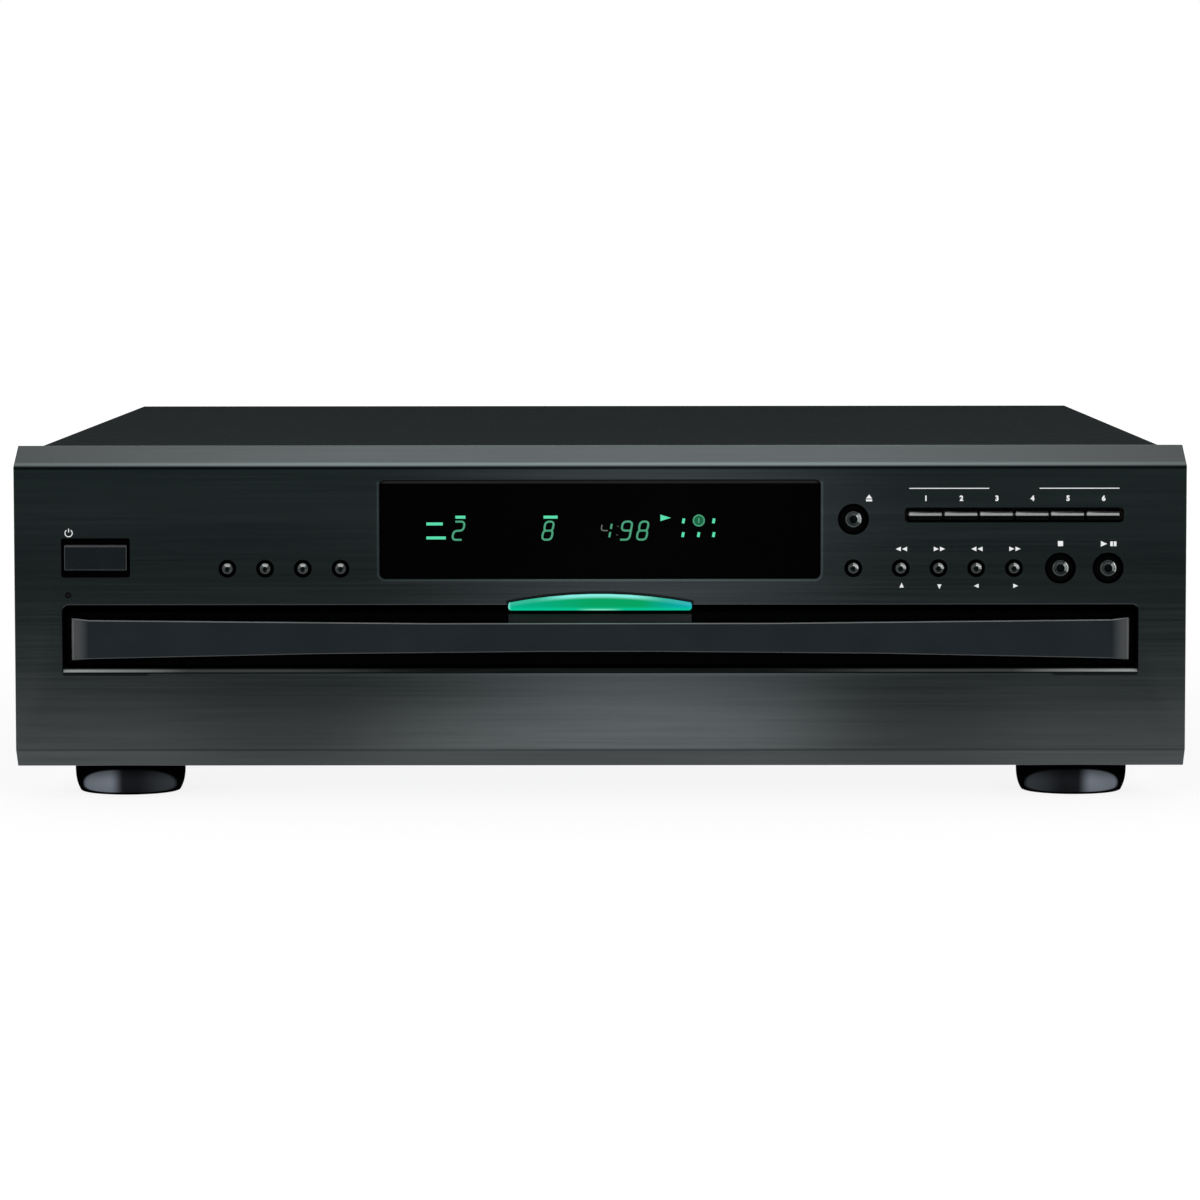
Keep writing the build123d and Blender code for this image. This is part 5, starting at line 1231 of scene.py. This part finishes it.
digitPaths = {
    "2": [[(0, 1), (1, 1), (1, 0.5), (0, 0.5), (0, 0), (1, 0)]],
    "9": [[(0.9, 0.5), (0, 0.5), (0, 1), (1, 1), (1, 0.5), (1, 0), (0.05, 0)]],
    "1": [[(1, 0.87), (1, 0.6)], [(1, 0.42), (1, 0.13)]],
    "l": [[(0, 0.82), (0, 0.5), (0.7, 0.5)]],
    "8": [[(0.5, 0.5), (0.05, 0.5), (0.05, 1), (0.95, 1), (0.95, 0.5), (0.5, 0.5)],
          [(0.5, 0.5), (0, 0.5), (0, 0), (1, 0), (1, 0.5), (0.5, 0.5)]],
}


def strokeMesh(name, lines, width):
    # lines are lists of points in X and Z, each given a round stroke
    curve = bpy.data.curves.new(name, "CURVE")
    curve.dimensions = "3D"
    curve.bevel_depth = width / 2
    curve.bevel_resolution = 2
    curve.use_fill_caps = True
    for points in lines:
        spline = curve.splines.new("POLY")
        spline.points.add(len(points) - 1)
        for spot, (x, z) in zip(spline.points, points):
            spot.co = (x, 0, z, 1)
    return curveMesh(name, curve)


def roundCorners(points, radius=1.5 * mm, steps=5):
    smooth = [points[0]]
    for before, corner, after in zip(points, points[1:], points[2:]):
        corner = Vector(corner)
        first, last = [corner.lerp(Vector(other), min(radius / math.dist(corner, other), 0.48))
                       for other in (before, after)]
        for index in range(steps + 1):
            share = index / steps
            spot = first.lerp(corner, share).lerp(corner.lerp(last, share), share)
            smooth.append(tuple(spot))
    smooth.append(points[-1])
    return smooth


def digitLines(figure, x):
    lines = []
    for path in digitPaths[figure]:
        placed = []
        for across, up in path:
            height = up * display["digitHeight"]
            placed.append((x * mm + across * display["digitWidth"] + height * display["lean"],
                           display["digitLow"] + height))
        lines.append(roundCorners(placed))
    return lines


def arc(centre, radius, start, end, count):
    # points at even steps, in degrees anticlockwise from the right
    turns = [math.radians(start + (end - start) * index / count) for index in range(count + 1)]
    return [(centre[0] + radius * math.cos(turn), centre[1] + radius * math.sin(turn))
            for turn in turns]


def placeOnCase(name, mesh, finish, y, thick):
    # presses the mesh flat against the plane at y
    reach = max(abs(vertex.co.y) for vertex in mesh.vertices)
    for vertex in mesh.vertices:
        vertex.co.y = y - thick / 2 + vertex.co.y / reach * thick / 2
    mesh.materials.clear()
    mesh.materials.append(finishes[finish])
    declare(linkPiece(name, mesh), "case")


def placeLit(name, mesh, finish, thick=display["thick"]):
    placeOnCase(name, mesh, finish, windowLow.y, thick)


def shortLines(spots, first, last):
    # a short stroke at each spot, between two steps from it
    return [[((x + first[0]) * mm, windowZ + (z + first[1]) * mm),
             ((x + last[0]) * mm, windowZ + (z + last[1]) * mm)] for x, z in spots]


digits = sum((digitLines(figure, x) for figure, x in display["figures"]), [])
bars = [[(first * mm, windowZ + z * mm), (last * mm, windowZ + z * mm)]
        for first, last, z in display["bars"]]
ringX, ringZ = display["ring"]
ring = [arc(display["ring"], display["ringRadius"], 0, 360, 24),
        [(ringX, ringZ + display["ringBar"]), (ringX, ringZ - display["ringBar"])]]
for name, lines, stroke, finish in (
        ("displayDigits", digits, "stroke", "thinSegments"),
        ("displayDim", digitLines(*display["dim"]), "dimStroke", "dimSegments"),
        ("displayBars", bars, "barStroke", "segments"),
        ("displayMarks", shortLines(display["marks"], *display["markEnds"]), "markStroke", "segments"),
        ("displayDots", shortLines(display["dots"], *display["dotEnds"]), "dotStroke", "dimSegments"),
        ("displayRing", ring, "ringStroke", "thinSegments")):
    placeLit(name, strokeMesh(name, lines, display[stroke]), finish)


# Flat shapes
def shapeMesh(name, outlines):
    # outlines are lists of points in X and Z
    mesh = bpy.data.meshes.new(name)
    shape = bmesh.new()
    for points in outlines:
        shape.faces.new([shape.verts.new((x, 0, z)) for x, z in points])
    bmesh.ops.recalc_face_normals(shape, faces=shape.faces)
    made = bmesh.ops.extrude_face_region(shape, geom=shape.faces[:])
    moved = [item for item in made["geom"] if isinstance(item, bmesh.types.BMVert)]
    bmesh.ops.translate(shape, verts=moved, vec=(0, 1, 0))
    bmesh.ops.recalc_face_normals(shape, faces=shape.faces)
    shape.to_mesh(mesh)
    shape.free()
    return mesh


def rectangle(x, z, width, height):
    return [(x + side * width / 2, z + end * height / 2)
            for side, end in ((-1, -1), (1, -1), (1, 1), (-1, 1))]


x, z, width, height = display["play"]
playMark = [(x - width / 2, z - height / 2), (x + width / 2, z), (x - width / 2, z + height / 2)]
placeLit("displayPlay", shapeMesh("displayPlay", [playMark]), "segments")
fill = arc(display["ring"], display["fillRadius"], 0, 360, 24)[:-1]
placeLit("displayFill", shapeMesh("displayFill", [fill]), "ringFill", display["thick"] / 2)


def beside(node, across, above):
    # a place across and above the middle of a button, given in mm
    middle = sum(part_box(node), Vector()) / 2
    return middle.x + across * mm, middle.z + above * mm


# Triangles of the transport marks, set out on points
markSizes = {
    "Radius": 1.0 * mm,
    "Width": 1.25,
    "Height": 0.98,
    "Thickness": 0.03 * mm,
    "Corners": 3,
}


def markTree():
    # a prism on each point, its point turned along the facing
    tree, start = newTree("printTriangles", markSizes)
    prism = addNode(tree, "GeometryNodeMeshCylinder", "Mesh", {
        "Vertices": start["Corners"], "Radius": start["Radius"], "Depth": start["Thickness"]})
    sized = transform(tree, prism, scale=vectorOf(tree, start["Width"], start["Height"], 1.0))
    stood = transform(tree, sized, rotation=(math.pi / 2, 0, 0))
    turn = addNode(tree, "FunctionNodeAlignRotationToVector", "Rotation",
                   {"Vector": namedVector(tree, "facing")}, axis="X", pivot_axis="Y")
    setOut(tree, start, stood, "silkPrint", {"Rotation": turn, "Scale": namedVector(tree, "scale")})
    return tree


right, left, up, down = (1, 0, 0), (-1, 0, 0), (0, 0, 1), (0, 0, -1)
panelPrint = {
    # mm from the middle of the button that a mark belongs to
    "thick": 0.03 * mm,
    "above": 7.15,
    "below": (0.35, -6.6, 0.95),  # last is the mark's size
    "play": (-1.95, 9.0, 1.25),
    "pause": ((1.25, 9.0, 1.0, 1.75), (2.55, 9.0, 1.0, 1.75)),
    "stop": (0, 9.1, 1.9, 1.9),
    "eject": (5.8, 7.9),
    "ejectArrow": ((-1.15, -0.2), (1.15, -0.2), (0, 1.3)),
    "ejectBar": (5.8, 7.0, 2.3, 0.7),
    "keyLine": (10.1, 29.6, 0.32),  # height above the keys, length and width
    "keyHalf": 6.0,
    "power": (-9.9, 9.2),
    "powerRing": (1.35, 0.34),  # radius and stroke
    "powerBar": (1.7, 0.3),
    "keyNumber": (0.15, 6.3, 2.65),
    "weight": 0.045,  # of the numbers' strokes
    "extrude": 0.01 * mm,
}
steps = {left: (-0.6, 1.7), right: (-1.15, 1.15)}
marks = []


def addMark(node, across, above, facing, scale=1.0):
    x, z = beside(node, across, above)
    marks.append(((x, faceY - panelPrint["thick"] / 2, z), facing, (scale, 1.0, scale)))


transport = (("track_back_button", left, up), ("track_forward_button", right, down),
             ("search_back_button", left, left), ("search_forward_button", right, right))
for node, facing, _ in transport:
    for step in steps[facing]:
        addMark(node, step, panelPrint["above"], facing)
for node, _, facing in transport:
    across, above, scale = panelPrint["below"]
    addMark(node, across, above, facing, scale)
across, above, scale = panelPrint["play"]
addMark("play_button", across, above, right, scale)
places, facings, scales = zip(*marks)
declare(growPiece("printTriangles", markTree(), places, markSizes, {"facing": facings, "scale": scales}),
        "case")


def placePrint(name, mesh):
    placeOnCase(name, mesh, "silkPrint", faceY, panelPrint["thick"])


def printedBox(node, across, above, width, height):
    return rectangle(*beside(node, across, above), width * mm, height * mm)


stopMark = printedBox("stop_button", *panelPrint["stop"])
pauseMark = [printedBox("play_button", *row) for row in panelPrint["pause"]]
ejectX, ejectZ = beside("open_close_button", *panelPrint["eject"])
ejectArrow = [(ejectX + x * mm, ejectZ + z * mm) for x, z in panelPrint["ejectArrow"]]
ejectBar = printedBox("open_close_button", *panelPrint["ejectBar"])
above, length, width = panelPrint["keyLine"]
lineMiddle = length / 2 - panelPrint["keyHalf"]
keyLines = [printedBox(keyNodes[0], lineMiddle, above, length, width),
            printedBox(keyNodes[-1], -lineMiddle, above, length, width)]
placePrint("panelMarks", shapeMesh("panelMarks", [stopMark, *pauseMark, ejectArrow, ejectBar, *keyLines]))

powerX, powerZ = beside("power_button", *panelPrint["power"])
radius, stroke = inMetres(panelPrint["powerRing"])
powerLines = [arc((powerX, powerZ), radius, 55, -235, 20),
              [(powerX, powerZ + height) for height in inMetres(panelPrint["powerBar"])]]
placePrint("powerMark", strokeMesh("powerMark", powerLines, stroke))


def figureMesh(name, figure, size, x, z):
    text = bpy.data.curves.new(name, "FONT")
    text.body = figure
    text.size = size
    text.align_x = text.align_y = "CENTER"
    text.extrude = panelPrint["extrude"]
    text.offset = panelPrint["weight"] * size
    text.resolution_u = 3
    mesh = curveMesh(name, text)
    mesh.transform(Matrix.Translation((x, 0, z)) @ Matrix.Rotation(math.radians(90), 4, "X"))
    return mesh


across, above, size = panelPrint["keyNumber"]
for number, node in enumerate(keyNodes, 1):
    name = f"keyNumber{number}"
    placePrint(name, figureMesh(name, str(number), size * mm, *beside(node, across, above)))
print("display and print made")

# Studio
studio = {
    "camera": (8.56 * mm, -2084.6 * mm, 214.9 * mm),
    "pitch": 4.306,
    "yaw": 0.262,
    "roll": -0.068,
    "focalPixels": 5048.4,
    "framePixels": 1200.0,
    "sensor": 36.0,
    "worldLight": 0.72,
    "floorColour": (0.82, 0.82, 0.82),
    "floorReach": 30.0,
    "floorShown": 0.8,
    "floorFade": (0.45, 1.5),
    "floorGlow": 1.06,
    "lamps": {
        # place, target, size and power
        "overheadLamp": ((0.0, 0.35, 1.7), (0, 0.05, 0.1), (0.9, 1.2), 3.4),
        "leftLamp": ((-1.6, -1.5, 0.7), (-0.1, -0.2, 0.08), (0.8, 0.9), 12),
        "rightLamp": ((1.6, -1.5, 0.7), (0.1, -0.2, 0.08), (0.8, 0.9), 12),
    },
}
cards = {
    "frontCard": ((-0.45, -0.46, 0.0), (0.45, -0.46, 0.55)),
    "backCard": ((-2.2, 1.9, 0.0), (2.2, 1.9, 1.4)),
    "dark": (0.110, 0.150, 0.148),
    "lit": (0.95, 1.0, 1.02),
    "middle": 0.018,
    "halfWidth": 0.115,
    "glow": (0.0, 0.032, 2.3),  # from, to and strength
    "haze": (0.0, 0.5, 0.41),
}


def addCamera():
    data = bpy.data.cameras.new("camera")
    data.sensor_width = studio["sensor"]
    data.lens = studio["focalPixels"] / studio["framePixels"] * studio["sensor"]
    data.clip_start = 0.05
    camera = linkPiece("camera", data)
    camera.location = studio["camera"]
    turn = Matrix.Rotation(math.radians(studio["yaw"]), 4, "Z")
    turn = turn @ Matrix.Rotation(math.radians(90 - studio["pitch"]), 4, "X")
    turn = turn @ Matrix.Rotation(math.radians(studio["roll"]), 4, "Z")
    camera.rotation_euler = turn.to_euler()
    bpy.context.scene.camera = camera


def addLamp(name, place, target, size, power):
    data = bpy.data.lights.new(name, "AREA")
    data.shape = "RECTANGLE"
    data.size, data.size_y = size
    data.energy = power
    lamp = linkPiece(name, data)
    lamp.location = place
    aim = Vector(target) - Vector(place)
    lamp.rotation_euler = aim.to_track_quat("-Z", "Y").to_euler()
    lamp.visible_camera = False


def seenDirectly(tree):
    # 1 where the eye, a reflection or glass sees the surface, else 0
    seen, glossy, through = [addNode(tree, "ShaderNodeLightPath", f"Is {ray} Ray")
                             for ray in ("Camera", "Glossy", "Transmission")]
    return seen.atLeast(glossy).atLeast(through)


def addWorld():
    world = bpy.data.worlds.new("studioWorld")
    world.use_nodes = True
    strength = seenDirectly(world.node_tree).spread(studio["worldLight"], 1.0, 0.0, 1.0)
    setSockets(world.node_tree.nodes["Background"], {"Color": (1, 1, 1), "Strength": strength})
    bpy.context.scene.world = world


def addPlate(name, corners, material):
    mesh = bpy.data.meshes.new(name)
    mesh.from_pydata(corners, [], [(0, 1, 2, 3)])
    mesh.materials.append(material)
    plate = linkPiece(name, mesh)
    return plate


def emission(tree, colour, strength):
    return addNode(tree, "ShaderNodeEmission", "Emission", {"Color": colour, "Strength": strength})


def addFloor():
    # pale paper that fades to white, with the object's shadow near it
    material, tree, shader = newMaterial("floorPaper", {
        "Base Color": studio["floorColour"], "Roughness": 0.9, "Specular IOR Level": 0.0})
    x, y, _ = objectParts(tree)
    near, far = studio["floorFade"]
    white = ((x ** 2.0 + y ** 2.0) ** 0.5).range(near, far, studio["floorShown"], 1.0,
                                                 interpolation_type="SMOOTHSTEP")
    mixed = addNode(tree, "ShaderNodeMixShader", "Shader", {
        "Fac": seenDirectly(tree) * white, 1: Value(shader.outputs["BSDF"]),
        2: emission(tree, (1, 1, 1), studio["floorGlow"])})
    feed(tree.nodes["Material Output"].inputs["Surface"], mixed)
    far = studio["floorReach"]
    addPlate("floor", [(-far, -far, 0), (far, -far, 0), (far, far, 0), (-far, far, 0)], material)


def addCard(name, material):
    # a card that only reflections see
    (x0, y, z0), (x1, _, z1) = cards[name]
    card = addPlate(name, [(x0, y, z0), (x1, y, z0), (x1, y, z1), (x0, y, z1)], material)
    card.visible_camera = card.visible_diffuse = False
    card.visible_shadow = card.visible_transmission = False


def frontCardMaterial():
    # black card with a soft lit patch low in its middle
    material, tree, shader = newMaterial("frontCard", {})
    tree.nodes.remove(shader)
    x, _, up = objectParts(tree)
    across = abs(x - cards["middle"]).fall(0.0, cards["halfWidth"])
    patch = across * (up.fall(*cards["glow"]) + up.fall(*cards["haze"]))
    both = addNode(tree, "ShaderNodeAddShader", "Shader", {
        0: emission(tree, cards["lit"], patch), 1: emission(tree, cards["dark"], 1.0)})
    feed(tree.nodes["Material Output"].inputs["Surface"], both)
    return material


def darkCardMaterial():
    return newMaterial("darkCard", {"Base Color": (0.01, 0.01, 0.01), "Roughness": 0.9,
                                    "Specular IOR Level": 0.0})[0]


addCamera()
addWorld()
addFloor()
addCard("frontCard", frontCardMaterial())
addCard("backCard", darkCardMaterial())
for name, row in studio["lamps"].items():
    addLamp(name, *row)
bpy.context.scene.view_settings.view_transform = "Standard"
print("studio set")
